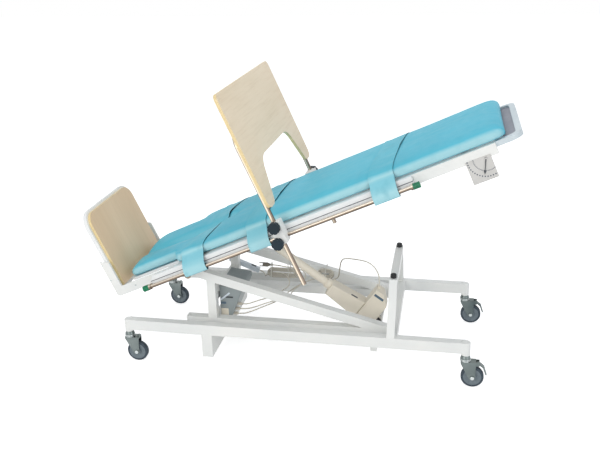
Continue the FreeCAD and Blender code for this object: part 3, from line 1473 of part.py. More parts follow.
def hank(name, middle, half, inner, turns, short):
    radius, pitch = amount_of("cordRadius"), amount_of("hankPitch")
    path = hank_path(FreeCAD.Vector(*middle), half, inner, turns, pitch, short)
    tube = swept(path, radius)
    spots = path.discretize(Distance=radius)
    guard = round(4 * pitch / radius)
    gap = min((spots[one] - spots[other]).Length for one in range(len(spots))
              for other in range(one + guard, len(spots))) - 2 * radius
    section = math.pi * radius ** 2
    print(name, "length", round(path.Length), "least gap", round(gap, 2),
          "volume share", round(tube.Volume / (section * path.Length), 3))
    featured(name, tube)
    ends = path.OrderedEdges[0], path.OrderedEdges[-1]
    return ends[0].valueAt(ends[0].FirstParameter), ends[1].valueAt(ends[1].LastParameter)


def plug_tip(number):
    left = "(postLeft + postLength)"
    height = f"(plugLowZ + {number} * plugPitch)"
    slant = "(boxHighDepth - boxLowDepth) / (boxShoulder - boxBottom)"
    reach = f"{left} + boxLowDepth + ({height} - boxBottom) * {slant} + plugLength"
    return amount_of(reach), amount_of("plugY"), amount_of(height)


def mains_plug():
    # a moulded plug that lies on the hank, its pins towards the foot end
    shoulder_share, neck_share, boot_share = 0.7, 0.5, 1.3
    left, y = "(hankX - hankHalf - mainsPlugLength - mainsPlugTail)", f"({hank_y} - hankPitch / 2)"
    rise = "(hankZ + mainsPlugRise)"
    body = turned("MainsPlug", world, "first", (left, y, rise), [
        ("0", "0"),
        ("mainsPlugRadius", "0"),
        ("mainsPlugRadius", f"mainsPlugLength * {shoulder_share}"),
        (f"mainsPlugRadius * {neck_share}", "mainsPlugLength"),
        (f"cordRadius * {boot_share}", "mainsPlugLength + mainsPlugTail"),
        ("0", "mainsPlugLength + mainsPlugTail"),
    ])
    pins = [cylinder(f"MainsPin{number}", world, "first", (f"{left} - pinLength", y, f"{rise} {sign} pinPitch"),
                     "pinRadius", "pinLength") for number, sign in enumerate("+-")]
    keep("mains_plug", joined("MainsPlugWhole", body, *pins))


def tie(number, x, across, up):
    outer = box(f"TieOuter{number}", world, (x, f"{x} + tieWidth"),
                (f"{across[0]} - tieThickness", f"{across[1]} + tieThickness"),
                (f"{up[0]} - tieThickness", f"{up[1]} + tieThickness"))
    inner = box(f"TieInner{number}", world, (f"{x} - overrun", f"{x} + overrun"), across, up)
    return cut(f"Tie{number}", outer, inner)


def leads():
    y_front, y_back = amount_of(f"{hank_y} - hankPitch / 2"), amount_of(f"{hank_y} + hankPitch / 2")
    hank_middle = [amount_of(name) for name in ("hankX", hank_y, "hankZ")]
    bunch_middle = [amount_of(name) for name in ("bunchX", hank_y, "bunchZ")]
    hank_in, hank_out = hank("supply_hank", hank_middle, amount_of("hankHalf"), amount_of("hankInner"),
                             hank_turns, True)
    bunch_in, bunch_out = hank("motor_lead_bunch", bunch_middle, amount_of("bunchHalf"), amount_of("bunchInner"),
                               bunch_turns, False)

    # the supply lead: plug over the hank and round its head end, then from the hank to the box
    mains_plug()
    plug_end = amount_of("hankX - hankHalf")
    plug_z = amount_of("hankZ + mainsPlugRise")
    cord("supply_lead", [
        [(plug_end, y_front, plug_z), (-160, y_front, plug_z), (-118, y_front, 310), (-56.5, y_front, 310),
         (-40, y_front, 281.4), (-56.5, y_front, hank_in.z), tuple(hank_in)],
        [tuple(hank_out), (-54, y_back, hank_out.z), (-30, y_back, 292), (-12, 172, 268), (-35, 146, 230),
         (-62, 104, 224), (-64, 50, 231), (-62, 0, 240), (-74, -55, 250), (-112, -104, 258), (-162, -130, 250),
         (-212, -128, 226), (-258, -120, plug_tip(1)[2]), plug_tip(1)],
    ])

    # the handset's lead passes in front of the hank and joins the others
    handset_run, motor_run = 24, 20
    reach = amount_of("handsetLength")
    depth = amount_of("handsetThickness / 2")
    across = amount_of(f"{handset_face} + handsetWidth / 2")
    exit_spot = place_of(handset_frame, reach, across, depth)
    straight = place_of(handset_frame, reach + handset_run, across, depth)
    cord("handset_lead", [
        [tuple(exit_spot), tuple(straight), (-238, 226, 234), (-232, 195, 244), (-222, 168, 262), (-192, 159, 278),
         (-150, 158, 284), (-112, 156, 272), (-92, 148, 240), (-98, 104, 230), (-110, 50, 240), (-112, 0, 251),
         (-118, -56, 262), (-136, -106, 272), (-180, -127, 268), (-224, -124, 248), (-250, -120, plug_tip(2)[2]),
         plug_tip(2)],
    ])

    # the motor's lead arches over to the bunch and goes on to the lowest plug
    gland_end = place_of(gland_line, 0, 0, amount_of("glandReach + seatGap"))
    after = place_of(gland_line, 0, 0, amount_of("glandReach + seatGap") + motor_run)
    cord("motor_lead", [
        [tuple(gland_end), tuple(after), (369, 3, 371), (347, 13, 408), (308, 36, 424), (251, 70, 417),
         (190, 108, 404), (168, 134, 376), (158, 152, 310), (152, 165, 273), (126, y_front, bunch_in.z),
         tuple(bunch_in)],
        [tuple(bunch_out), (40, y_back, bunch_out.z), (0, 172, 244), (-42, 154, 228), (-76, 112, 216),
         (-88, 58, 224), (-88, 0, 234), (-98, -60, 244), (-126, -112, 246), (-172, -136, 234), (-222, -134, 208),
         (-266, -120, plug_tip(0)[2]), plug_tip(0)],
    ])
    front = f"({hank_y} - hankPitch / 2 - cordRadius - tieClearance)"
    back = f"({hank_y} + hankPitch / 2 + cordRadius + seatGap)"
    low = f"(hankZ - hankInner - {hank_turns} * hankPitch - cordRadius - tieClearance)"
    high = "(hankZ + mainsPlugRise + mainsPlugRadius)"
    bunch_low = f"(bunchZ - bunchInner - {bunch_turns} * hankPitch - cordRadius - tieClearance)"
    far = f"({beam_half} + seatGap)"
    keep("cable_ties", group(
        "Ties",
        tie(0, "(hankX - hankHalf - tieWidth)", (f"{front} - 4 * cordRadius - tieClearance", back), (low, high)),
        tie(1, "(hankX + hankHalf / 2)", (front, far), (low, f"{brace_top('hankX + hankHalf / 2')} + seatGap")),
        tie(2, "bunchX", (front, far), (bunch_low, f"{brace_top('bunchX')} + bunchInner")),
    ))


base_frame()
rest_portal()
tilt_bearing()
actuator_foot()
for end_name, end_sign, has_pedal in (("left", "-", False), ("right", "", True)):
    for side_name, side_sign in (("near", "-"), ("far", "")):
        caster(f"{side_name}_{end_name}", end_sign, side_sign, has_pedal)
actuator_housing()
actuator_rod()
control_box()
handset()
leads()
table_frame()
head_frame()
side_rails()
tilt_scale()
footrest()
mattress()
keep("straps", group("Straps", *[strap(part) for part in ("Foot", "Belly", "Chest")]))
tray()
keep("tray_clamps", group("Clamps", tray_clamp("Near"), tray_clamp("Far")))
for knob_side in ("near", "far"):
    # the upper screw ends against the tray's leg, the lower one beside the rod
    knob(f"{knob_side}_upper", knob_side, "trayNearAlong", "knobUpperRise",
         f"({tray_line} + trayTubeRadius + seatGap)")
    knob(f"{knob_side}_lower", knob_side, "knobLowerAlong", "knobLowerRise",
         f"({rod_line} + sideRodRadius + sleeveWall)")

doc.recompute()
faults = [thing.Name for thing in doc.Objects if "Invalid" in thing.State or "Error" in thing.State]
faults += [node.Label for node in nodes if node.Shape.isNull() or not node.Shape.isValid()]
if faults:
    raise SystemExit("faulty: " + ", ".join(faults))
for node in nodes:
    node.Shape.exportStep(f"parts/{node.Label}.step")
print(len(nodes), "nodes")
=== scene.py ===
import bpy
import json
import math
from mathutils import Matrix, Vector, noise
from mathutils.bvhtree import BVHTree


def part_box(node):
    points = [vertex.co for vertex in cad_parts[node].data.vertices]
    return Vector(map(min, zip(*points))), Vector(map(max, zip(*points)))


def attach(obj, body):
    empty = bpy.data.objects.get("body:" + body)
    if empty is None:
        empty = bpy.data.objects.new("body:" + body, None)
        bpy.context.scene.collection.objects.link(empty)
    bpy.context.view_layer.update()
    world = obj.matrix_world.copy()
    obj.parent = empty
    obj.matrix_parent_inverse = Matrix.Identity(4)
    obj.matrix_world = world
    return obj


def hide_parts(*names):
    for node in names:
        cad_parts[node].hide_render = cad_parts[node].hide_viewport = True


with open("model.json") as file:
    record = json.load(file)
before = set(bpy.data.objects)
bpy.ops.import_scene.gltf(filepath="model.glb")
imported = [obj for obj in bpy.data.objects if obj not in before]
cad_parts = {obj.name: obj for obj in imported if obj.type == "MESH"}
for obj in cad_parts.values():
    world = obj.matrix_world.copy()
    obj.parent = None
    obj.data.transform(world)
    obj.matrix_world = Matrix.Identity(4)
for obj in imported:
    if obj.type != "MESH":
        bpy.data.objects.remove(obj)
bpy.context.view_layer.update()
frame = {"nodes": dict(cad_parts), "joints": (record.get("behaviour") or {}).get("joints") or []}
nodes = frame["nodes"]
scene = bpy.context.scene
tableTilt = math.radians(24.007)
tableOrigin = Vector((-0.000109, 0, 0.730486))  # middle of the deck's top face


def onTable(along, across, rise):
    # metres along, across and above the tilted deck, as a point of the room
    return tableOrigin + Vector((along * math.cos(tableTilt) - rise * math.sin(tableTilt), across,
                                 along * math.sin(tableTilt) + rise * math.cos(tableTilt)))


def fromTable(point):
    offset = point - tableOrigin
    return Vector((offset.x * math.cos(tableTilt) + offset.z * math.sin(tableTilt), offset.y,
                   -offset.x * math.sin(tableTilt) + offset.z * math.cos(tableTilt)))


# Camera

cameraValues = {
    "place": (0.6707, -3.4071, 1.9168),
    "azimuth": 11.232,  # turned towards the foot end
    "down": 20.652,
    "roll": -1.397,
    "lens": 47.304,
    "sensor": 36,
    "clipEnd": 60,
}


def addCamera(values):
    turn, down, roll = (math.radians(values[name]) for name in ("azimuth", "down", "roll"))
    forward = Vector((-math.sin(turn) * math.cos(down), math.cos(turn) * math.cos(down), -math.sin(down)))
    right = forward.cross(Vector((0, 0, 1))).normalized()
    up = right.cross(forward)
    tiltedRight = right * math.cos(roll) + up * math.sin(roll)
    tiltedUp = tiltedRight.cross(forward)
    camera = bpy.data.objects.new("camera", bpy.data.cameras.new("camera"))
    scene.collection.objects.link(camera)
    camera.matrix_world = Matrix.Translation(values["place"]) @ Matrix(
        (tiltedRight, tiltedUp, -forward)).transposed().to_4x4()
    camera.data.lens, camera.data.sensor_width = values["lens"], values["sensor"]
    camera.data.sensor_fit = "HORIZONTAL"
    camera.data.clip_end = values["clipEnd"]
    scene.camera = camera


addCamera(cameraValues)
print("camera placed")

# Room: floor, soft lamps and a white surround

white = (1, 1, 1, 1)
roomValues = {
    "floorSize": 30,
    "floorColour": (0.80, 0.80, 0.80, 1),
    "floorLift": 0.66,
    "surround": (0.95, 0.98, 1.02, 1),
    "surroundStrength": 0.55,
    "lamps": (  # name, place, aim, size, watts, colour
        ("key", (-1.6, -4.2, 2.1), (0, 0, 0.6), 2.6, 82, (1.0, 0.98, 0.95)),
        ("fill", (3.4, -2.6, 1.6), (0, 0, 0.5), 2.4, 32, (0.97, 0.985, 1.0)),
        ("top", (0.2, 0.6, 4.4), (0, 0, 0.6), 3.0, 44, (0.97, 0.985, 1.0)),
    ),
}


def addNode(tree, kind, inputs=None, **settings):
    made = tree.nodes.new(kind)
    for name, value in settings.items():
        setattr(made, name, value)
    for name, value in (inputs or {}).items():
        if isinstance(value, bpy.types.NodeSocket):
            tree.links.new(value, made.inputs[name])
        else:
            made.inputs[name].default_value = value
    return made


def reckoned(tree, operation, *numbers):
    return addNode(tree, "ShaderNodeMath", dict(enumerate(numbers)), operation=operation).outputs[0]


def seenDirectly(tree):
    # 1 where the camera or a mirror looks, 0 where the room only gives light
    rays = addNode(tree, "ShaderNodeLightPath")
    return reckoned(tree, "MAXIMUM", rays.outputs["Is Camera Ray"], rays.outputs["Is Glossy Ray"])


def addFloor(values):
    bpy.ops.object.select_all(action="DESELECT")
    bpy.ops.mesh.primitive_plane_add(size=values["floorSize"], location=(0, 0, 0))
    floor = bpy.context.object
    floor.name = "floor"
    floorPaint = bpy.data.materials.new("floorPaint")
    floorPaint.use_nodes = True
    tree = floorPaint.node_tree
    tree.nodes.clear()
    lift = reckoned(tree, "MULTIPLY", seenDirectly(tree), values["floorLift"])
    matt = addNode(tree, "ShaderNodeBsdfDiffuse", {"Color": values["floorColour"]})
    glow = addNode(tree, "ShaderNodeEmission", {"Color": white, "Strength": lift})
    both = addNode(tree, "ShaderNodeAddShader", {0: matt.outputs[0], 1: glow.outputs[0]})
    addNode(tree, "ShaderNodeOutputMaterial", {"Surface": both.outputs[0]})
    floor.data.materials.append(floorPaint)


def addSurround(values):
    world = bpy.data.worlds.new("surround")
    scene.world = world
    world.use_nodes = True
    tree = world.node_tree
    tree.nodes.clear()
    dim = addNode(tree, "ShaderNodeBackground",
                  {"Color": values["surround"], "Strength": values["surroundStrength"]})
    bright = addNode(tree, "ShaderNodeBackground", {"Color": white, "Strength": 1})
    shown = addNode(tree, "ShaderNodeMixShader",
                    {0: seenDirectly(tree), 1: dim.outputs[0], 2: bright.outputs[0]})
    addNode(tree, "ShaderNodeOutputWorld", {"Surface": shown.outputs[0]})


def addLamps(values):
    for name, place, aim, size, watts, colour in values["lamps"]:
        lamp = bpy.data.lights.new(name, "AREA")
        lamp.size, lamp.energy, lamp.color = size, watts, colour
        holder = bpy.data.objects.new(name, lamp)
        scene.collection.objects.link(holder)
        holder.location = place
        holder.rotation_euler = (Vector(aim) - Vector(place)).to_track_quat("-Z", "Y").to_euler()


addFloor(roomValues)
addSurround(roomValues)
addLamps(roomValues)
scene.view_settings.view_transform = "Standard"
print("room lit")


# Finishes

def linear(red, green, blue):
    # eight-bit display colour to the shader's own scale
    levels = (level / 255 for level in (red, green, blue))
    return (*(level / 12.92 if level <= 0.04045 else ((level + 0.055) / 1.055) ** 2.4 for level in levels), 1)


def startFinish(name, tilt=False, offset=(0, 0, 0)):
    finish = bpy.data.materials.new(name)
    finish.use_nodes = True
    tree = finish.node_tree
    tree.nodes.clear()
    place = addNode(tree, "ShaderNodeTexCoord")
    where = addNode(tree, "ShaderNodeMapping", {"Vector": place.outputs["Object"], "Location": offset,
                                                "Rotation": (0, tableTilt if tilt else 0, 0)})
    skin = addNode(tree, "ShaderNodeBsdfPrincipled")
    addNode(tree, "ShaderNodeOutputMaterial", {"Surface": skin.outputs[0]})
    return finish, tree, where.outputs[0], skin


def stretched(tree, where, scale):
    return addNode(tree, "ShaderNodeMapping", {"Vector": where, "Scale": scale}).outputs[0]


def cloudy(tree, where, scale, detail=4, roughness=0.5):
    return addNode(tree, "ShaderNodeTexNoise", {"Vector": where, "Scale": scale, "Detail": detail,
                                                "Roughness": roughness}).outputs["Fac"]


def between(tree, amount, low, high, fromLow=0.3, fromHigh=0.7):
    return addNode(tree, "ShaderNodeMapRange", {"Value": amount, "From Min": fromLow, "From Max": fromHigh,
                                                "To Min": low, "To Max": high}).outputs[0]


def mixed(tree, amount, first, second):
    blend = addNode(tree, "ShaderNodeMix", data_type="RGBA")
    for socket, value in ((blend.inputs[0], amount), (blend.inputs[6], first), (blend.inputs[7], second)):
        if isinstance(value, bpy.types.NodeSocket):
            tree.links.new(value, socket)
        else:
            socket.default_value = value
    return blend.outputs[2]


def raised(tree, skin, height, strength, distance, under=None):
    inputs = {"Height": height, "Strength": strength, "Distance": distance}
    if under is not None:
        inputs["Normal"] = under
    bump = addNode(tree, "ShaderNodeBump", inputs)
    tree.links.new(bump.outputs[0], skin.inputs["Normal"])
    return bump.outputs[0]


def shaded(tree, where, values):
    # slow drift between the dark and the light shade of a finish
    drift = between(tree, cloudy(tree, where, values["drift"], 3), 0, 1)
    return mixed(tree, drift, linear(*values["dark"]), linear(*values["light"]))


def coatedFinish(name, values):
    # moulded, painted or plated skin: soft drift in colour and gloss over a fine raised grain
    finish, tree, where, skin = startFinish(name)
    tree.links.new(shaded(tree, where, values), skin.inputs["Base Color"])
    smear = cloudy(tree, where, values["smear"], 5, 0.6)
    tree.links.new(between(tree, smear, *values["rough"]), skin.inputs["Roughness"])
    raised(tree, skin, cloudy(tree, where, values["grain"], 2), values["bump"], values["grainDepth"])
    skin.inputs["Metallic"].default_value = values["metallic"]
    skin.inputs["Coat Weight"].default_value = values["coat"]
    skin.inputs["Specular IOR Level"].default_value = values["specular"]
    return finish


coatedValues = {  # for a finish that says nothing else
    "drift": 5,
    "smear": 38,
    "bump": 0.5,
    "grain": 900,
    "grainDepth": 0.0002,
    "metallic": 0.0,
    "coat": 0.0,
    "specular": 0.5,
}
finishValues = {
    "whitePaint": dict(light=(236, 236, 232), dark=(226, 228, 226), rough=(0.34, 0.48), grain=420, coat=0.15),
    # whitePaintTopShade: the head frame's white paint in a darker bluish copy, painted shade of its tops
    "whitePaintTopShade": dict(light=(206, 216, 220), dark=(196, 207, 212), rough=(0.34, 0.48), grain=420, coat=0.1),
    "brightSteel": dict(light=(216, 220, 220), dark=(172, 180, 180), rough=(0.2, 0.4), grain=260,
                        metallic=1.0),
    "forkSteel": dict(light=(132, 140, 138), dark=(84, 94, 95), rough=(0.28, 0.5), grain=260, metallic=1.0),
    "beigePlastic": dict(light=(234, 226, 210), dark=(224, 216, 199), rough=(0.42, 0.55), grainDepth=0.0003),
    "greyPlastic": dict(light=(154, 162, 163), dark=(137, 146, 148), rough=(0.4, 0.55), grainDepth=0.0003),
    "paleGrey": dict(light=(222, 230, 238), dark=(210, 219, 228), rough=(0.38, 0.5), grainDepth=0.0003),
    "slateGrey": dict(light=(96, 116, 132), dark=(82, 102, 118), rough=(0.4, 0.52)),
    "panelGrey": dict(light=(152, 152, 161), dark=(138, 139, 149), rough=(0.45, 0.6), grain=500,
                      grainDepth=0.0003),
    "knobPlastic": dict(light=(26, 44, 54), dark=(16, 31, 40), rough=(0.42, 0.6), grain=1100,
                        grainDepth=0.0003, specular=0.25),
    "greenPlastic": dict(light=(24, 142, 98), dark=(12, 112, 78), rough=(0.35, 0.5), grain=700),
    "taupePlastic": dict(light=(132, 125, 114), dark=(112, 105, 95), rough=(0.4, 0.55)),
    "darkPlastic": dict(light=(72, 76, 80), dark=(52, 56, 60), rough=(0.4, 0.55)),
    "tiePlastic": dict(light=(236, 236, 230), dark=(222, 222, 214), rough=(0.35, 0.5), grain=700),
    "blackRubber": dict(light=(34, 35, 38), dark=(20, 21, 24), rough=(0.6, 0.8), grain=600,
                        grainDepth=0.0004),
    "laminateWhite": dict(light=(238, 239, 238), dark=(230, 232, 232), rough=(0.3, 0.4), grain=650,
                          grainDepth=0.0001),
    # strapEdgeShade: dark teal painted shade for the straps' rims and undersides
    "strapEdgeShade": dict(light=(30, 92, 108), dark=(20, 72, 88), rough=(0.5, 0.65)),
}
finishes = {name: coatedFinish(name, {**coatedValues, **values}) for name, values in finishValues.items()}


def turnedNormal(tree, axis, tilt):
    # which way the skin faces along one of the piece's own directions, from -1 to 1
    place = addNode(tree, "ShaderNodeTexCoord")
    turned = addNode(tree, "ShaderNodeMapping",
                     {"Vector": place.outputs["Normal"], "Rotation": (0, tableTilt if tilt else 0, 0)},
                     vector_type="NORMAL")
    return addNode(tree, "ShaderNodeSeparateXYZ", {"Vector": turned.outputs[0]}).outputs[axis]


def brushedFinish(name, values):
    # polished tube: streaks drawn out along it, and bands of painted reflection round it, light on top and
    # dark underneath by which way the skin faces
    finish, tree, where, skin = startFinish(name, values["tilt"])
    facing = between(tree, turnedNormal(tree, values["axis"], values["tilt"]), 0, 1, -1, 1)
    # painted reflection: colour bands looked up by which way the skin faces
    bands = addNode(tree, "ShaderNodeValToRGB", {"Fac": facing})
    paintedReflectionRamp = bands.color_ramp
    for number, (place, shade) in enumerate(values["bands"]):
        stop = paintedReflectionRamp.elements[number] if number < 2 else paintedReflectionRamp.elements.new(place)
        stop.position, stop.color = place, linear(*shade)
    streaks = cloudy(tree, stretched(tree, where, values["stretch"]), values["scale"], 4, 0.6)
    paintedReflectionAndWear = mixed(tree, between(tree, streaks, values["wear"], 0), bands.outputs[0], linear(*values["dark"]))
    tree.links.new(paintedReflectionAndWear, skin.inputs["Base Color"])
    tree.links.new(between(tree, streaks, *values["rough"]), skin.inputs["Roughness"])
    skin.inputs["Metallic"].default_value = values["metallic"]
    raised(tree, skin, streaks, values["bump"], values["bumpDepth"])
    return finish


platedValues = {
    "dark": (168, 154, 140),
    "rough": (0.26, 0.4),
    "scale": 60,
    "stretch": (0.06, 1, 1),
    "wear": 0.35,
    "bump": 0.25,
    "bumpDepth": 0.0001,
    "tilt": True,
    "metallic": 1.0,
    "axis": 2,
    # bands: painted reflection by which way the skin faces, dark brown underneath and cream on top
    "bands": ((0.0, (56, 47, 40)), (0.3, (70, 59, 50)), (0.5, (128, 113, 98)), (0.64, (98, 85, 74)),
              (0.75, (222, 214, 201)), (1.0, (206, 198, 185))),
}
legValues = {
    **platedValues,
    "stretch": (1, 1, 0.06),
    "axis": 0,
    # bands: painted reflection across the leg by which way the skin faces, dark at one edge, cream beside it,
    # darker again at the other
    "bands": ((0.0, (52, 46, 42)), (0.14, (72, 64, 58)), (0.26, (232, 216, 194)), (0.5, (240, 226, 206)),
              (0.66, (150, 134, 120)), (1.0, (104, 94, 86))),
}
# the axles take the rod's painted reflection bands
axleValues = {**platedValues, "stretch": (1, 0.06, 1), "tilt": False}
# sheath of the leads: painted light on top and painted shade underneath, so that each strand of a hank stands
# out
sheathValues = {
    **platedValues,
    "dark": (186, 180, 166),
    "rough": (0.42, 0.55),
    "scale": 40,
    "stretch": (1, 1, 1),
    "tilt": False,
    "metallic": 0.0,
    # bands: painted light on top of each strand, painted shade underneath
    "bands": ((0.0, (96, 88, 76)), (0.34, (150, 142, 128)), (0.52, (222, 217, 204)), (1.0, (228, 224, 212))),
}
brushedValues = {"platedRod": platedValues, "platedLeg": legValues, "platedAxle": axleValues,
                 "cordSheath": sheathValues}
finishes.update({name: brushedFinish(name, values) for name, values in brushedValues.items()})

stripValues = {
    "light": (238, 240, 240),
    "dark": (229, 232, 233),
    # line: painted shade where the groove runs, a dark line along the strip
    "line": (92, 100, 110),
    "grooveShadeRise": -0.0215,
    "grooveShadeHalf": 0.0016,
    "rough": (0.32, 0.45),
    "drift": 5,
    "smear": 38,
    "grain": 420,
    "bump": 0.3,
    "grainDepth": 0.0001,
}


def stripFinish(name, values):
    # white enamel with a painted shade line where the strip's groove runs
    finish, tree, where, skin = startFinish(name, True)
    enamel = shaded(tree, where, values)
    split = addNode(tree, "ShaderNodeSeparateXYZ", {"Vector": where})
    centre = values["grooveShadeRise"] - fromTable(Vector((0, 0, 0))).z
    away = reckoned(tree, "ABSOLUTE", reckoned(tree, "SUBTRACT", split.outputs[2], centre))
    line = reckoned(tree, "LESS_THAN", away, values["grooveShadeHalf"])
    tree.links.new(mixed(tree, line, enamel, linear(*values["line"])), skin.inputs["Base Color"])
    smear = cloudy(tree, where, values["smear"], 5, 0.6)
    tree.links.new(between(tree, smear, *values["rough"]), skin.inputs["Roughness"])
    raised(tree, skin, cloudy(tree, where, values["grain"], 2), values["bump"], values["grainDepth"])
    return finish


finishes["stripEnamel"] = stripFinish("stripEnamel", stripValues)

vinylValues = {
    "light": (86, 190, 213),
    "dark": (78, 181, 204),
    "paintedSideSheen": (168, 213, 220),
    "sideMost": 0.9,
    "sideFrom": 0.3,  # how far the skin has to turn sideways before the painted sheen pales it
    "sideTo": 0.95,
    # painted shade where the pulls run
    "paintedCreaseShade": (84, 172, 192),
    "creaseMost": 0.35,
    "creaseFrom": 0.55,
    "creaseTo": 0.8,
    "creaseScale": 9,
    "creaseStretch": (1, 0.35, 1),
    "creaseBump": 0.35,
    "creaseDepth": 0.004,
    "pebbleScale": 520,
    "pebbleBump": 0.28,
    "pebbleDepth": 0.0006,
    "drift": 3.2,
    "smear": 26,
    "rough": (0.42, 0.56),
    "specular": 0.22,
    "sheen": 0.04,
}
strapVinylValues = {
    **vinylValues,
    "light": (92, 190, 211),
    "dark": (84, 182, 203),
    "paintedSideSheen": (170, 215, 222),
    "paintedCreaseShade": (80, 164, 182),
    "creaseScale": 22,
    "creaseDepth": 0.002,
}


def vinylFinish(name, values):
    # coated upholstery: a pebbled skin with faint pulls under it, painted shade along the pulls and a painted
    # sheen that pales the sides
    finish, tree, where, skin = startFinish(name, True)
    topColour = shaded(tree, where, values)
    # painted sheen: skin that faces sideways is paled towards a lighter colour
    sideways = reckoned(tree, "ABSOLUTE", turnedNormal(tree, 1, True))
    paintedSheen = between(tree, sideways, 0, values["sideMost"], values["sideFrom"], values["sideTo"])
    skinWithPaintedSheen = mixed(tree, paintedSheen, topColour, linear(*values["paintedSideSheen"]))
    pulls = cloudy(tree, stretched(tree, where, values["creaseStretch"]), values["creaseScale"], 3, 0.45)
    # painted shade: the pulls darken the colour where they run
    shade = between(tree, pulls, 0, values["creaseMost"], values["creaseFrom"], values["creaseTo"])
    tree.links.new(mixed(tree, shade, skinWithPaintedSheen, linear(*values["paintedCreaseShade"])), skin.inputs["Base Color"])
    tree.links.new(between(tree, cloudy(tree, where, values["smear"]), *values["rough"]),
                   skin.inputs["Roughness"])
    pebbles = addNode(tree, "ShaderNodeTexVoronoi", {"Vector": where, "Scale": values["pebbleScale"]},
                      feature="F1").outputs["Distance"]
    under = raised(tree, skin, pulls, values["creaseBump"], values["creaseDepth"])
    raised(tree, skin, pebbles, values["pebbleBump"], values["pebbleDepth"], under)
    skin.inputs["Sheen Weight"].default_value = values["sheen"]
    skin.inputs["Specular IOR Level"].default_value = values["specular"]
    return finish


finishes["vinyl"] = vinylFinish("vinyl", vinylValues)
finishes["strapVinyl"] = vinylFinish("strapVinyl", strapVinylValues)

birchValues = {
    "light": (243, 222, 192),
    "dark": (233, 211, 178),
    "fleck": (209, 184, 150),
    "fleckMost": 0.34,
    "fleckFrom": 0.5,
    "fleckTo": 0.78,
    "plyLight": (240, 222, 172),
    "plyDark": (214, 186, 132),
    "plies": 9,
    "faceFrom": 0.8,  # how squarely a face has to look along the board's thickness
    "grainScale": 90,
    "broadScale": 9,
    "broadPower": 0.6,
    "bump": 0.3,
    "grainDepth": 0.0003,
    "rough": (0.36, 0.5),
    "coat": 0.2,
    "coatRough": 0.25,
}
trayBirch = {**birchValues, "stretch": (1, 0.05, 1), "thickness": 0.014, "plyOffset": -0.02}
footBirch = {
    **birchValues,
    "light": (233, 203, 167),
    "dark": (223, 191, 153),
    "stretch": (1, 1, 0.05),
    "thickness": 0.013,
    "plyOffset": -0.9,
}


def birchFinish(name, values):
    # lacquered plywood: fine grain on the faces, plies along the edges
    finish, tree, where, skin = startFinish(name, True)
    grain = cloudy(tree, stretched(tree, where, values["stretch"]), values["grainScale"], 6, 0.62)
    broadStretch = tuple(part ** values["broadPower"] for part in values["stretch"])
    broad = cloudy(tree, stretched(tree, where, broadStretch), values["broadScale"], 3)
    face = mixed(tree, between(tree, broad, 0, 1), linear(*values["dark"]), linear(*values["light"]))
    fleck = between(tree, grain, 0, values["fleckMost"], values["fleckFrom"], values["fleckTo"])
    face = mixed(tree, fleck, face, linear(*values["fleck"]))
    split = addNode(tree, "ShaderNodeSeparateXYZ", {"Vector": where})
    depth = reckoned(tree, "SUBTRACT", split.outputs[0], values["plyOffset"])
    wave = reckoned(tree, "SINE", reckoned(tree, "MULTIPLY", depth,
                                           values["plies"] / values["thickness"] * math.pi))
    edge = mixed(tree, between(tree, wave, 0, 1, -0.4, 0.4), linear(*values["plyDark"]),
                 linear(*values["plyLight"]))
    squarely = reckoned(tree, "ABSOLUTE", turnedNormal(tree, 0, True))
    isFace = reckoned(tree, "GREATER_THAN", squarely, values["faceFrom"])
    tree.links.new(mixed(tree, isFace, edge, face), skin.inputs["Base Color"])
    tree.links.new(between(tree, grain, *values["rough"]), skin.inputs["Roughness"])
    raised(tree, skin, grain, values["bump"], values["grainDepth"])
    skin.inputs["Coat Weight"].default_value = values["coat"]
    skin.inputs["Coat Roughness"].default_value = values["coatRough"]
    return finish


finishes["birchTray"] = birchFinish("birchTray", trayBirch)
finishes["birchFoot"] = birchFinish("birchFoot", footBirch)

wheelValues = {
    "tread": (62, 74, 84),
    "treadDark": (44, 56, 66),
    "hub": (112, 123, 129),
    "hubDark": (95, 107, 114),
    "rimRadius": 0.039,
    "rimEdge": 0.0008,
    "drift": 60,
    "rough": (0.4, 0.72),  # hub, tread
    "rings": 900,
    "bump": 0.12,
    "ringDepth": 0.0006,
}


def wheelFinish(name, values, centre):
    # rubber tread on a moulded hub, told apart by the distance from the axle
    finish, tree, where, skin = startFinish(name, False, (-centre[0], 0, -centre[1]))
    split = addNode(tree, "ShaderNodeSeparateXYZ", {"Vector": where})
    flat = addNode(tree, "ShaderNodeCombineXYZ", {"X": split.outputs[0], "Z": split.outputs[2]})
    reach = addNode(tree, "ShaderNodeVectorMath", {0: flat.outputs[0]}, operation="LENGTH").outputs["Value"]
    outer = between(tree, reach, 0, 1, values["rimRadius"], values["rimRadius"] + values["rimEdge"])
    drift = between(tree, cloudy(tree, where, values["drift"]), 0, 1)
    tread = mixed(tree, drift, linear(*values["treadDark"]), linear(*values["tread"]))
    hub = mixed(tree, drift, linear(*values["hubDark"]), linear(*values["hub"]))
    tree.links.new(mixed(tree, outer, hub, tread), skin.inputs["Base Color"])
    tree.links.new(between(tree, outer, *values["rough"], 0, 1), skin.inputs["Roughness"])
    ripple = reckoned(tree, "SINE", reckoned(tree, "MULTIPLY", reach, values["rings"]))
    raised(tree, skin, ripple, values["bump"], values["ringDepth"])
    return finish


scaleValues = {
    "light": (208, 206, 202),
    "dark": (198, 196, 192),
    "mark": (70, 78, 92),
    "pivot": (0.871, -0.044),
    "rings": ((0.052, 0.0022, 60), (0.076, 0.0026, 44)),  # radius, half width, dots in the whole turn
    "dotFrom": 0.1,
    "drift": 14,
    "smear": 40,
    "rough": (0.25, 0.4),
    "grain": 500,
    "bump": 0.2,
    "grainDepth": 0.0001,
}


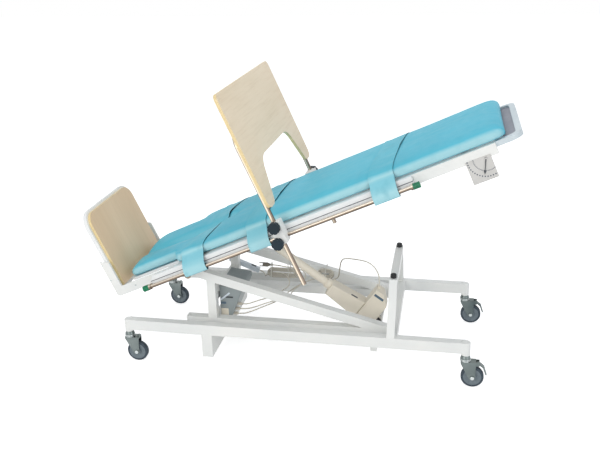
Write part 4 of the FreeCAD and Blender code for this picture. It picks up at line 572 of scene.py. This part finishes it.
def scaleFinish(name, values):
    # white plate with two dotted arcs round the pointer's pin
    finish, tree, where, skin = startFinish(name, True)
    origin = fromTable(Vector((0, 0, 0)))
    split = addNode(tree, "ShaderNodeSeparateXYZ", {"Vector": where})
    along = reckoned(tree, "SUBTRACT", split.outputs[0], values["pivot"][0] - origin.x)
    rise = reckoned(tree, "SUBTRACT", split.outputs[2], values["pivot"][1] - origin.z)
    flat = addNode(tree, "ShaderNodeCombineXYZ", {"X": along, "Y": rise})
    reach = addNode(tree, "ShaderNodeVectorMath", {0: flat.outputs[0]}, operation="LENGTH").outputs["Value"]
    angle = reckoned(tree, "ARCTAN2", rise, along)
    rings = []
    for radius, half, dots in values["rings"]:
        away = reckoned(tree, "ABSOLUTE", reckoned(tree, "SUBTRACT", reach, radius))
        beat = reckoned(tree, "SINE", reckoned(tree, "MULTIPLY", angle, dots))
        rings.append(reckoned(tree, "MULTIPLY", reckoned(tree, "LESS_THAN", away, half),
                              reckoned(tree, "GREATER_THAN", beat, values["dotFrom"])))
    marks = reckoned(tree, "MAXIMUM", *rings)
    plate = shaded(tree, where, values)
    tree.links.new(mixed(tree, marks, plate, linear(*values["mark"])), skin.inputs["Base Color"])
    tree.links.new(between(tree, cloudy(tree, where, values["smear"]), *values["rough"]),
                   skin.inputs["Roughness"])
    raised(tree, skin, cloudy(tree, where, values["grain"], 2), values["bump"], values["grainDepth"])
    return finish


finishes["scaleFace"] = scaleFinish("scaleFace", scaleValues)


def dress(name, finish):
    slots = nodes[name].data.materials
    slots.clear()
    slots.append(finish)


dressing = {
    "whitePaint": ("base_rails", "transom", "inner_beams", "braces", "left_posts", "rest_portal",
                   "bearing_plates", "foot_crossbar", "table_frame", "footrest_legs", "tray_clamps"),
    # painted shade: the head frame's white paint given its tops' darker bluish tone
    "whitePaintTopShade": ("head_frame",),
    "stripEnamel": ("side_strips",),
    "laminateWhite": ("deck", "foot_backing"),
    "panelGrey": ("head_panel",),
    "platedRod": ("side_rods", "rod_brackets"),
    "platedLeg": ("tray_tube",),
    "platedAxle": ("tilt_axle", "actuator_rod", "rod_eye_pin"),
    "brightSteel": ("footrest_screws",),
    "forkSteel": ("caster_fork_near_left", "caster_fork_near_right", "caster_fork_far_left",
                  "caster_fork_far_right", "brake_pedal_near_right", "brake_pedal_far_right"),
    "blackRubber": ("foot_bracket", "rest_bumpers"),
    "beigePlastic": ("motor_housing", "gear_housing", "actuator_tube", "cord_plugs"),
    "greyPlastic": ("control_box",),
    "paleGrey": ("handset",),
    "knobPlastic": ("knob_near_upper", "knob_near_lower", "knob_far_upper", "knob_far_lower",
                    "handset_rocker"),
    "greenPlastic": ("rod_caps",),
    "darkPlastic": ("pointer",),
    "taupePlastic": ("mains_plug",),
    "tiePlastic": ("cable_ties",),
    "birchTray": ("tray_board",),
    "birchFoot": ("foot_panel",),
    "scaleFace": ("scale_plate",),
}
for finishName, names in dressing.items():
    for nodeName in names:
        dress(nodeName, finishes[finishName])
for side in ("near", "far"):
    for end in ("left", "right"):
        nodeName = f"caster_wheel_{side}_{end}"
        low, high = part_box(nodeName)
        centre = ((low.x + high.x) / 2, (low.z + high.z) / 2)
        dress(nodeName, wheelFinish(f"wheel_{side}_{end}", wheelValues, centre))
print("finishes made")


# Cords

def mm(*points):
    return [Vector(point) / 1000 for point in points]


def addCord(name, points, values):
    curve = bpy.data.curves.new(name, "CURVE")
    curve.dimensions = "3D"
    curve.resolution_u = values["stepsAlong"]
    curve.bevel_depth = values["radius"]
    curve.bevel_resolution = values["stepsRound"]
    curve.use_fill_caps = True
    spline = curve.splines.new("NURBS")
    spline.points.add(len(points) - 1)
    for spot, point in zip(spline.points, points):
        spot.co = (*point, 1)
    spline.order_u = 3
    spline.use_endpoint_u = True
    cordPiece = bpy.data.objects.new(name, curve)
    scene.collection.objects.link(cordPiece)
    curve.materials.append(finishes["cordSheath"])
    return cordPiece


def hankPoints(middle, half, inner, turns, pitch, short):
    # loops in two layers, from the lower head-end corner in through the front and out through the back;
    # three points outline each half turn, and the curve touches their lines midway
    heights = [(-1) ** number * (inner + number * pitch / 2) for number in range(2 * turns + 1)]
    back = heights[:-1] if short else heights
    points, end = [], 1
    for layer, row in ((-pitch / 2, heights[::-1]), (pitch / 2, back)):
        for height, reach in zip(row, row[1:]):
            radius = abs(height - reach) / 2
            centre = (height + reach) / 2
            way = 1 if height > reach else -1
            lead = radius * math.tan(math.radians(30))
            column = half - lead
            points.append((middle[0] - end * column, middle[1] + layer, middle[2] - height))
            for across, up in ((lead, radius), (2 * lead, 0), (lead, -radius)):
                points.append((middle[0] - end * (half + across), middle[1] + layer,
                               middle[2] - centre - way * up))
            points.append((middle[0] - end * column, middle[1] + layer, middle[2] - reach))
            end = -end
    return mm(*points)


cordValues = {
    "radius": 0.003,
    "stepsAlong": 12,
    "stepsRound": 4,
    "pitch": 6.7,
    "hank": {"middle": (-135, 176, 278), "half": 54, "inner": 5, "turns": 3, "short": True},
    "bunch": {"middle": (84, 176, 283), "half": 14, "inner": 8, "turns": 3, "short": False},
    "mains": [(-189, 172.65, 318), (-160, 172.65, 318), (-118, 172.65, 310), (-56.5, 172.65, 310),
              (-40, 172.65, 281.4), (-56.5, 172.65, 252.9)],
    "toBox": [(-54, 179.35, 299.75), (-30, 179.35, 292), (-12, 172, 268), (-35, 146, 230), (-62, 104, 224),
              (-64, 50, 231), (-62, 0, 240), (-74, -55, 250), (-112, -104, 258), (-162, -130, 250),
              (-212, -128, 226), (-258, -120, 210), (-284.58, -120, 210)],
    "handset": [(-274.86, 247, 251.0), (-252.45, 247, 242.4), (-238, 226, 234), (-232, 195, 244),
                (-222, 168, 262), (-192, 159, 278), (-150, 158, 284), (-112, 156, 272), (-92, 148, 240),
                (-98, 104, 230), (-110, 50, 240), (-112, 0, 251), (-118, -56, 262), (-136, -106, 272),
                (-180, -127, 268), (-224, -124, 248), (-250, -120, 236), (-274.03, -120, 236)],
    "motorArch": [(370.99, 0, 316.27), (371.33, 0, 336.27), (369, 3, 371), (347, 13, 408), (308, 36, 424),
                  (251, 70, 417), (190, 108, 404), (168, 134, 376), (158, 152, 310), (152, 165, 273),
                  (126, 172.65, 254.9)],
    "motorToBox": [(40, 179.35, 254.9), (0, 172, 244), (-42, 154, 228), (-76, 112, 216), (-88, 58, 224),
                   (-88, 0, 234), (-98, -60, 244), (-126, -112, 246), (-172, -136, 234), (-222, -134, 208),
                   (-266, -120, 184), (-295.13, -120, 184)],
}


def addLeads(values):
    hankTurns = hankPoints(pitch=values["pitch"], **values["hank"])
    supplyRoute = list(reversed(mm(*values["mains"]) + hankTurns + mm(*values["toBox"])))
    supplyCord = addCord("supplyCord", supplyRoute, values)
    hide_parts("supply_lead", "supply_hank")
    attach(supplyCord, "base_frame")
    handsetRoute = mm(*values["handset"])
    handsetCord = addCord("handsetCord", handsetRoute, values)
    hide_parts("handset_lead")
    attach(handsetCord, "base_frame")
    bunchTurns = hankPoints(pitch=values["pitch"], **values["bunch"])
    motorRoute = mm(*values["motorArch"]) + bunchTurns + mm(*values["motorToBox"])
    motorCord = addCord("motorCord", motorRoute, values)
    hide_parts("motor_lead", "motor_lead_bunch")
    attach(motorCord, "base_frame")


addLeads(cordValues)
print("cords laid")

# Mattress

mattressValues = {
    "weld": 0.00005,
    "voxel": 0.0095,
    "smoothing": 0.5,
    "smoothings": 3,
    "start": 0.004,  # drawn in before the filling pushes it out again
    "quality": 4,
    "pressure": 4,
    "frames": 20,
    "mostSwell": 0.007,
    "bedRise": 0.004,
    "topRise": 0.018,
    "hollows": (  # along, across, reach along, reach across, depth
        (-0.342, -0.006, 0.034, 0.028, 0.018),
        (-0.540, -0.002, 0.210, 0.044, 0.024),
    ),
    "strapPress": 0.0028,
    "strapFade": 0.016,
    "puckersAlong": 9,
    "puckersAcross": 26,
    "puckerLayer": 0.4,
    "puckerDepth": 0.0011,
    "fill": 0.8,
}
strapValues = {
    "bands": ((-0.529, 0.112, 0.095), (-0.193, 0.100, 0.035), (0.393, 0.111, 0.045)),  # start, width, skew
    "half": 0.300,
    "deep": 0.058,
    "shoulder": 0.268,
    "shoulderTurns": (70, 50, 30, 12, -4),  # degrees above level
    "probeAbove": 0.2,  # where the rays that find the mattress start, and how far they go
    "probeOut": 0.12,
    "probeReach": 0.3,
    "rodAcross": 0.340,
    "rodRise": -0.038,
    "rodRadius": 0.0085,
    "rodGap": 0.0003,
    "slack": 0.008,
    "tail": 0.020,
    "thickness": 0.0026,
    "clear": 0.0010,
    "columns": 14,
    "topRows": 34,
    "turnRows": 5,
    "topRise": 0.02,  # the band's head-end edge lifts only above this
    "edgeLift": 0.0026,
    "edgePower": 4,
    "ripple": 0.0007,
    "ripplesOver": 2,
    "ripplesAcross": 14,
    "rippleShift": 9,
    "creaseAngle": 40,
}


def meshCopy(name, newName, weld):
    made = nodes[name].copy()
    made.data = nodes[name].data.copy()
    made.parent = None
    made.name = newName
    for key in list(made.keys()):
        del made[key]
    scene.collection.objects.link(made)
    bpy.ops.object.select_all(action="DESELECT")
    made.select_set(True)
    bpy.context.view_layer.objects.active = made
    bpy.ops.object.mode_set(mode="EDIT")
    bpy.ops.mesh.select_all(action="SELECT")
    bpy.ops.mesh.remove_doubles(threshold=weld)
    bpy.ops.mesh.normals_make_consistent(inside=False)
    bpy.ops.object.mode_set(mode="OBJECT")
    return made


def finishWith(piece, kind, **settings):
    change = piece.modifiers.new(kind.lower(), kind)
    for name, value in settings.items():
        setattr(change, name, value)
    bpy.ops.object.modifier_apply(modifier=change.name)


def swell(pad, values):
    # filling pushes the cover out, and the underside stays on the deck
    before = [point.co.copy() for point in pad.data.vertices]
    laid = pad.vertex_groups.new(name="laid")
    bedded = [point.index for point in pad.data.vertices if fromTable(point.co).z < values["bedRise"]]
    laid.add(bedded, 1, "REPLACE")
    cover = pad.modifiers.new("cover", "CLOTH")
    cover.settings.quality = values["quality"]
    cover.settings.use_pressure = True
    cover.settings.uniform_pressure_force = values["pressure"]
    cover.settings.vertex_group_mass = laid.name
    cover.settings.effector_weights.gravity = 0
    cover.point_cache.frame_end = values["frames"]
    for number in range(1, values["frames"] + 1):
        scene.frame_set(number)
    bpy.ops.object.modifier_apply(modifier=cover.name)
    for point, start in zip(pad.data.vertices, before):
        moved = point.co - start
        if moved.length > values["mostSwell"]:
            point.co = start + moved * (values["mostSwell"] / moved.length)
    scene.frame_set(1)


def bandShift(across, skew):
    # how far a slanting band has moved along the table at this place across it
    return skew * (max(-1, min(1, across / strapValues["half"])) + 1) / 2


def sculpt(pad, values):
    # the leg valley and its pocket, what the bands press in, and faint pulls of the cover
    down = onTable(0, 0, 0) - onTable(0, 0, 1)
    for point in pad.data.vertices:
        spot = fromTable(point.co)
        if spot.z <= values["bedRise"]:
            continue
        press = 0
        for start, width, skew in strapValues["bands"]:
            over = abs(spot.x - start - bandShift(spot.y, skew) - width / 2) - width / 2
            press += max(0, min(1, 1 - over / values["strapFade"])) ** 2
        puckers = Vector((spot.x * values["puckersAlong"], spot.y * values["puckersAcross"],
                          values["puckerLayer"]))
        pulls = noise.noise(puckers) * values["puckerDepth"]
        move = -point.normal * (press * values["strapPress"] + pulls)
        if spot.z > values["topRise"]:
            for along, across, alongReach, acrossReach, depth in values["hollows"]:
                move += down * depth * math.exp(-((spot.x - along) / alongReach) ** 2
                                                - ((spot.y - across) / acrossReach) ** 2)
        point.co += move


def addMattress(values):
    pad = meshCopy("mattress", "mattressPad", values["weld"])
    finishWith(pad, "REMESH", mode="VOXEL", voxel_size=values["voxel"])
    finishWith(pad, "SMOOTH", factor=values["smoothing"], iterations=values["smoothings"])
    finishWith(pad, "DISPLACE", strength=-values["start"], mid_level=0)
    swell(pad, values)
    sculpt(pad, values)
    finishWith(pad, "SUBSURF", levels=1, render_levels=1)
    bpy.ops.object.shade_smooth()
    pad.vertex_groups.clear()
    pad.data.materials.clear()
    pad.data.materials.append(finishes["vinyl"])
    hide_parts("mattress")
    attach(pad, "tabletop")
    return pad


mattressPad = addMattress(mattressValues)
print("mattress made")

# Straps


def bandProfile(skin, values, along):
    # from the middle of the mattress out over its shoulder, down past the rod and up again behind it
    def reach(start, aim):
        origin = onTable(along, *start)
        way = (onTable(along, *aim) - origin).normalized()
        return fromTable(skin.ray_cast(origin, way, values["probeReach"])[0])
    clear = values["clear"] + values["thickness"]
    line = []
    for number in range(values["topRows"] + 1):
        across = values["shoulder"] * number / values["topRows"]
        hit = reach((across, values["probeAbove"]), (across, 0))
        line.append((across, hit.z + clear))
    middle = (values["shoulder"], values["deep"] / 2)
    for turn in values["shoulderTurns"]:
        way = (math.cos(math.radians(turn)), math.sin(math.radians(turn)))
        hit = reach([spot + values["probeOut"] * part for spot, part in zip(middle, way)], middle)
        line.append((hit.y + clear * way[0], hit.z + clear * way[1]))
    bend = values["rodRadius"] + values["rodGap"] + values["thickness"]
    low = values["rodRise"] - values["slack"]
    line.append((values["rodAcross"] + bend, values["rodRise"] + 3 * values["rodRadius"]))
    line.append((values["rodAcross"] + bend, low))
    for number in range(1, values["turnRows"] + 1):
        turn = math.pi * number / values["turnRows"]
        line.append((values["rodAcross"] + bend * math.cos(turn), low - bend * math.sin(turn)))
    line.append((values["rodAcross"] - bend, low + values["tail"]))
    return line


def shapeBand(band, skin, values, start, width, skew):
    # the columns of the flat grid are laid over the mattress one beside the other
    columns = {}
    for point in band.data.vertices:
        columns.setdefault(round(point.co.x, 4), []).append(point)
    for number, place in enumerate(sorted(columns)):
        column = sorted(columns[place], key=lambda point: point.co.y)
        share = number / (len(columns) - 1)
        halves = []
        for side in (-1, 1):
            middle = start + width * share + skew * (side * 0.5 + 1) / 2
            halves.append([(side * across, rise) for across, rise in bandProfile(skin, values, middle)])
        line = halves[0][:0:-1] + halves[1]
        for point, (across, rise) in zip(column, line):
            spread = onTable(0, across, rise) - onTable(0, 0, values["deep"] / 2)
            lift = values["edgeLift"] * share ** values["edgePower"] if rise > values["topRise"] else 0
            ripples = Vector((share * values["ripplesOver"], across * values["ripplesAcross"],
                              start * values["rippleShift"]))
            lift += values["ripple"] * (1 + noise.noise(ripples)) / 2
            point.co = onTable(start + bandShift(across, skew) + width * share, across, rise)
            point.co += spread.normalized() * lift
    band.data.update()


def addStraps(values, pad):
    skin = BVHTree.FromObject(pad, bpy.context.evaluated_depsgraph_get())
    bands = []
    for start, width, skew in values["bands"]:
        rows = 2 * len(bandProfile(skin, values, start)) - 1
        bpy.ops.object.select_all(action="DESELECT")
        bpy.ops.mesh.primitive_grid_add(x_subdivisions=values["columns"], y_subdivisions=rows - 1, size=1)
        band = bpy.context.object
        bands.append(band)
        shapeBand(band, skin, values, start, width, skew)
        bpy.ops.object.mode_set(mode="EDIT")
        bpy.ops.mesh.select_all(action="SELECT")
        bpy.ops.mesh.normals_make_consistent(inside=False)
        bpy.ops.object.mode_set(mode="OBJECT")
        middleFace = min(band.data.polygons, key=lambda face: abs(fromTable(face.center).y))
        if middleFace.normal.z < 0:
            band.data.flip_normals()
        band.data.materials.append(finishes["strapVinyl"])
        # the second slot puts the painted shade on the rims and undersides through the solidify's material
        # offsets
        band.data.materials.append(finishes["strapEdgeShade"])
        finishWith(band, "SUBSURF", levels=1, render_levels=1)
        finishWith(band, "SOLIDIFY", thickness=values["thickness"], offset=-1, material_offset=1,
                   material_offset_rim=1, use_even_offset=True)
        bpy.ops.object.shade_smooth_by_angle(angle=math.radians(values["creaseAngle"]))
    bpy.ops.object.select_all(action="DESELECT")
    for band in bands:
        band.select_set(True)
    bpy.context.view_layer.objects.active = bands[0]
    bpy.ops.object.join()
    straps = bands[0]
    straps.name = "strapBands"
    bpy.ops.object.transform_apply(location=True, rotation=True, scale=True)
    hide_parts("straps")
    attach(straps, "tabletop")


addStraps(strapValues, mattressPad)
print("straps made")

# Trims on the control box, the actuator and the casters

joints = {joint["name"]: joint for joint in frame["joints"]}
footPin = Vector(joints["actuator_swing"]["pos_m"])
alongRod = Vector(joints["rod_slide"]["axis"])
rodSlope = math.degrees(math.atan2(alongRod.z, -alongRod.x))
gearTaper = 6.34  # degrees between the gear housing's top and the rod


def onActuator(reach, across, rise):
    # from the foot pin along the rod, and square to it
    return footPin + alongRod * reach + Vector((alongRod.z, 0, -alongRod.x)) * rise + Vector((0, across, 0))


trimValues = {  # size, middle, slope in degrees, finish, body
    "boxCover": ((0.038, 0.004, 0.054), (-0.3490, -0.1605, 0.2010), 0, "beigePlastic", "base_frame"),
    "boxPatch": ((0.026, 0.002, 0.011), (-0.3540, -0.1605, 0.2560), 0, "slateGrey", "base_frame"),
    # painted shade: a dark plate where the box's slot opens, with no hole made
    "boxSlotShade": ((0.036, 0.002, 0.008), (-0.3240, -0.1605, 0.2870), 0, "darkPlastic", "base_frame"),
    "boxBand": ((0.058, 0.002, 0.008), (-0.3440, -0.1608, 0.2900), -40, "paleGrey", "base_frame"),
    "motorBand": ((0.050, 0.002, 0.012), onActuator(0.070, -0.0405, 0.109), rodSlope, "slateGrey",
                  "actuator_body"),
    # painted shade: a dark plate where the gear housing's slot opens, with no hole made
    "gearSlotShade": ((0.034, 0.012, 0.002), onActuator(0.162, -0.0240, 0.0352), rodSlope - gearTaper,
                 "darkPlastic", "actuator_body"),
}
plateValues = {  # the border is a share of the plate's longest side, the dip and the edge of its thickness
    "border": 0.04,
    "dip": 0.2,
    "edge": 0.3,
    "edgeSteps": 3,
}
ringValues = {
    "collar": {"reach": (0.2835, 0.2890, 0.2960), "radius": 0.0206, "wire": 0.0024},
    "race": {"rise": (0.1285, 0.1345), "radius": 0.0215, "wire": 0.0020},
    "stepsAlong": 48,
    "stepsRound": 10,
}
boltValues = {
    "radius": 0.0085,
    "length": 0.006,
    "out": 0.0225,
    "sides": 32,
    "edge": 0.35,
    "edgeSteps": 4,
    "creaseAngle": 40,
}


def addPlate(name, size, middle, slope, finish, body):
    # a thin plate with a raised border and softened edges
    bpy.ops.object.select_all(action="DESELECT")
    bpy.ops.mesh.primitive_cube_add(size=1)
    plate = bpy.context.object
    plate.name = name
    plate.scale = size
    bpy.ops.object.transform_apply(location=False, rotation=False, scale=True)
    thin = min(size)
    axis = size.index(thin)
    outward = -1 if axis == 1 else 1
    for face in plate.data.polygons:
        face.select = face.normal[axis] * outward > 0.9
    bpy.ops.object.mode_set(mode="EDIT")
    bpy.ops.mesh.select_mode(type="FACE")
    bpy.ops.mesh.inset(thickness=max(size) * plateValues["border"], depth=-thin * plateValues["dip"])
    bpy.ops.object.mode_set(mode="OBJECT")
    finishWith(plate, "BEVEL", width=thin * plateValues["edge"], segments=plateValues["edgeSteps"])
    plate.matrix_world = Matrix.Translation(middle) @ Matrix.Rotation(math.radians(slope), 4, "Y")
    bpy.ops.object.transform_apply(location=True, rotation=True, scale=False)
    plate.data.materials.append(finishes[finish])
    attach(plate, body)


def addRings(name, middles, way, values, finish, body):
    # beads round a tube, made one by one and joined
    bpy.ops.object.select_all(action="DESELECT")
    made = []
    turned = Vector(way).to_track_quat("Z", "Y").to_matrix().to_4x4()
    for middle in middles:
        bpy.ops.mesh.primitive_torus_add(major_radius=values["radius"], minor_radius=values["wire"],
                                         major_segments=ringValues["stepsAlong"],
                                         minor_segments=ringValues["stepsRound"])
        ring = bpy.context.object
        ring.matrix_world = Matrix.Translation(middle) @ turned
        made.append(ring)
    for ring in made:
        ring.select_set(True)
    bpy.ops.object.join()
    rings = bpy.context.object
    rings.name = name
    bpy.ops.object.transform_apply(location=True, rotation=True, scale=True)
    bpy.ops.object.shade_smooth()
    rings.data.materials.append(finishes[finish])
    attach(rings, body)


def addBolt(name, middle, values, body):
    # domed cap over the wheel's axle bolt
    bpy.ops.object.select_all(action="DESELECT")
    bpy.ops.mesh.primitive_cylinder_add(vertices=values["sides"], radius=values["radius"],
                                        depth=values["length"])
    cap = bpy.context.object
    cap.name = name
    finishWith(cap, "BEVEL", width=values["length"] * values["edge"], segments=values["edgeSteps"])
    cap.matrix_world = Matrix.Translation(middle) @ Matrix.Rotation(math.radians(90), 4, "X")
    bpy.ops.object.transform_apply(location=True, rotation=True, scale=False)
    bpy.ops.object.shade_smooth_by_angle(angle=math.radians(values["creaseAngle"]))
    cap.data.materials.append(finishes["brightSteel"])
    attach(cap, body)


for trimName, trim in trimValues.items():
    addPlate(trimName, *trim)
collar, race = ringValues["collar"], ringValues["race"]
addRings("tubeCollar", [onActuator(reach, 0, 0) for reach in collar["reach"]], alongRod, collar,
         "beigePlastic", "actuator_body")
for side in ("near", "far"):
    for end in ("left", "right"):
        place = Vector(joints[f"caster_{side}_{end}_swivel"]["pos_m"])
        axle = Vector(joints[f"caster_{side}_{end}_roll"]["pos_m"])
        fork = f"caster_{side}_{end}_fork"
        addRings(f"race_{side}_{end}", [Vector((place.x, place.y, rise)) for rise in race["rise"]], (0, 0, 1),
                 race, "brightSteel", fork)
        for face, out in (("outer", -1), ("inner", 1)):
            addBolt(f"bolt_{side}_{end}_{face}",
                    Vector((axle.x, place.y + out * boltValues["out"], axle.z)), boltValues, fork)
print("trims made")
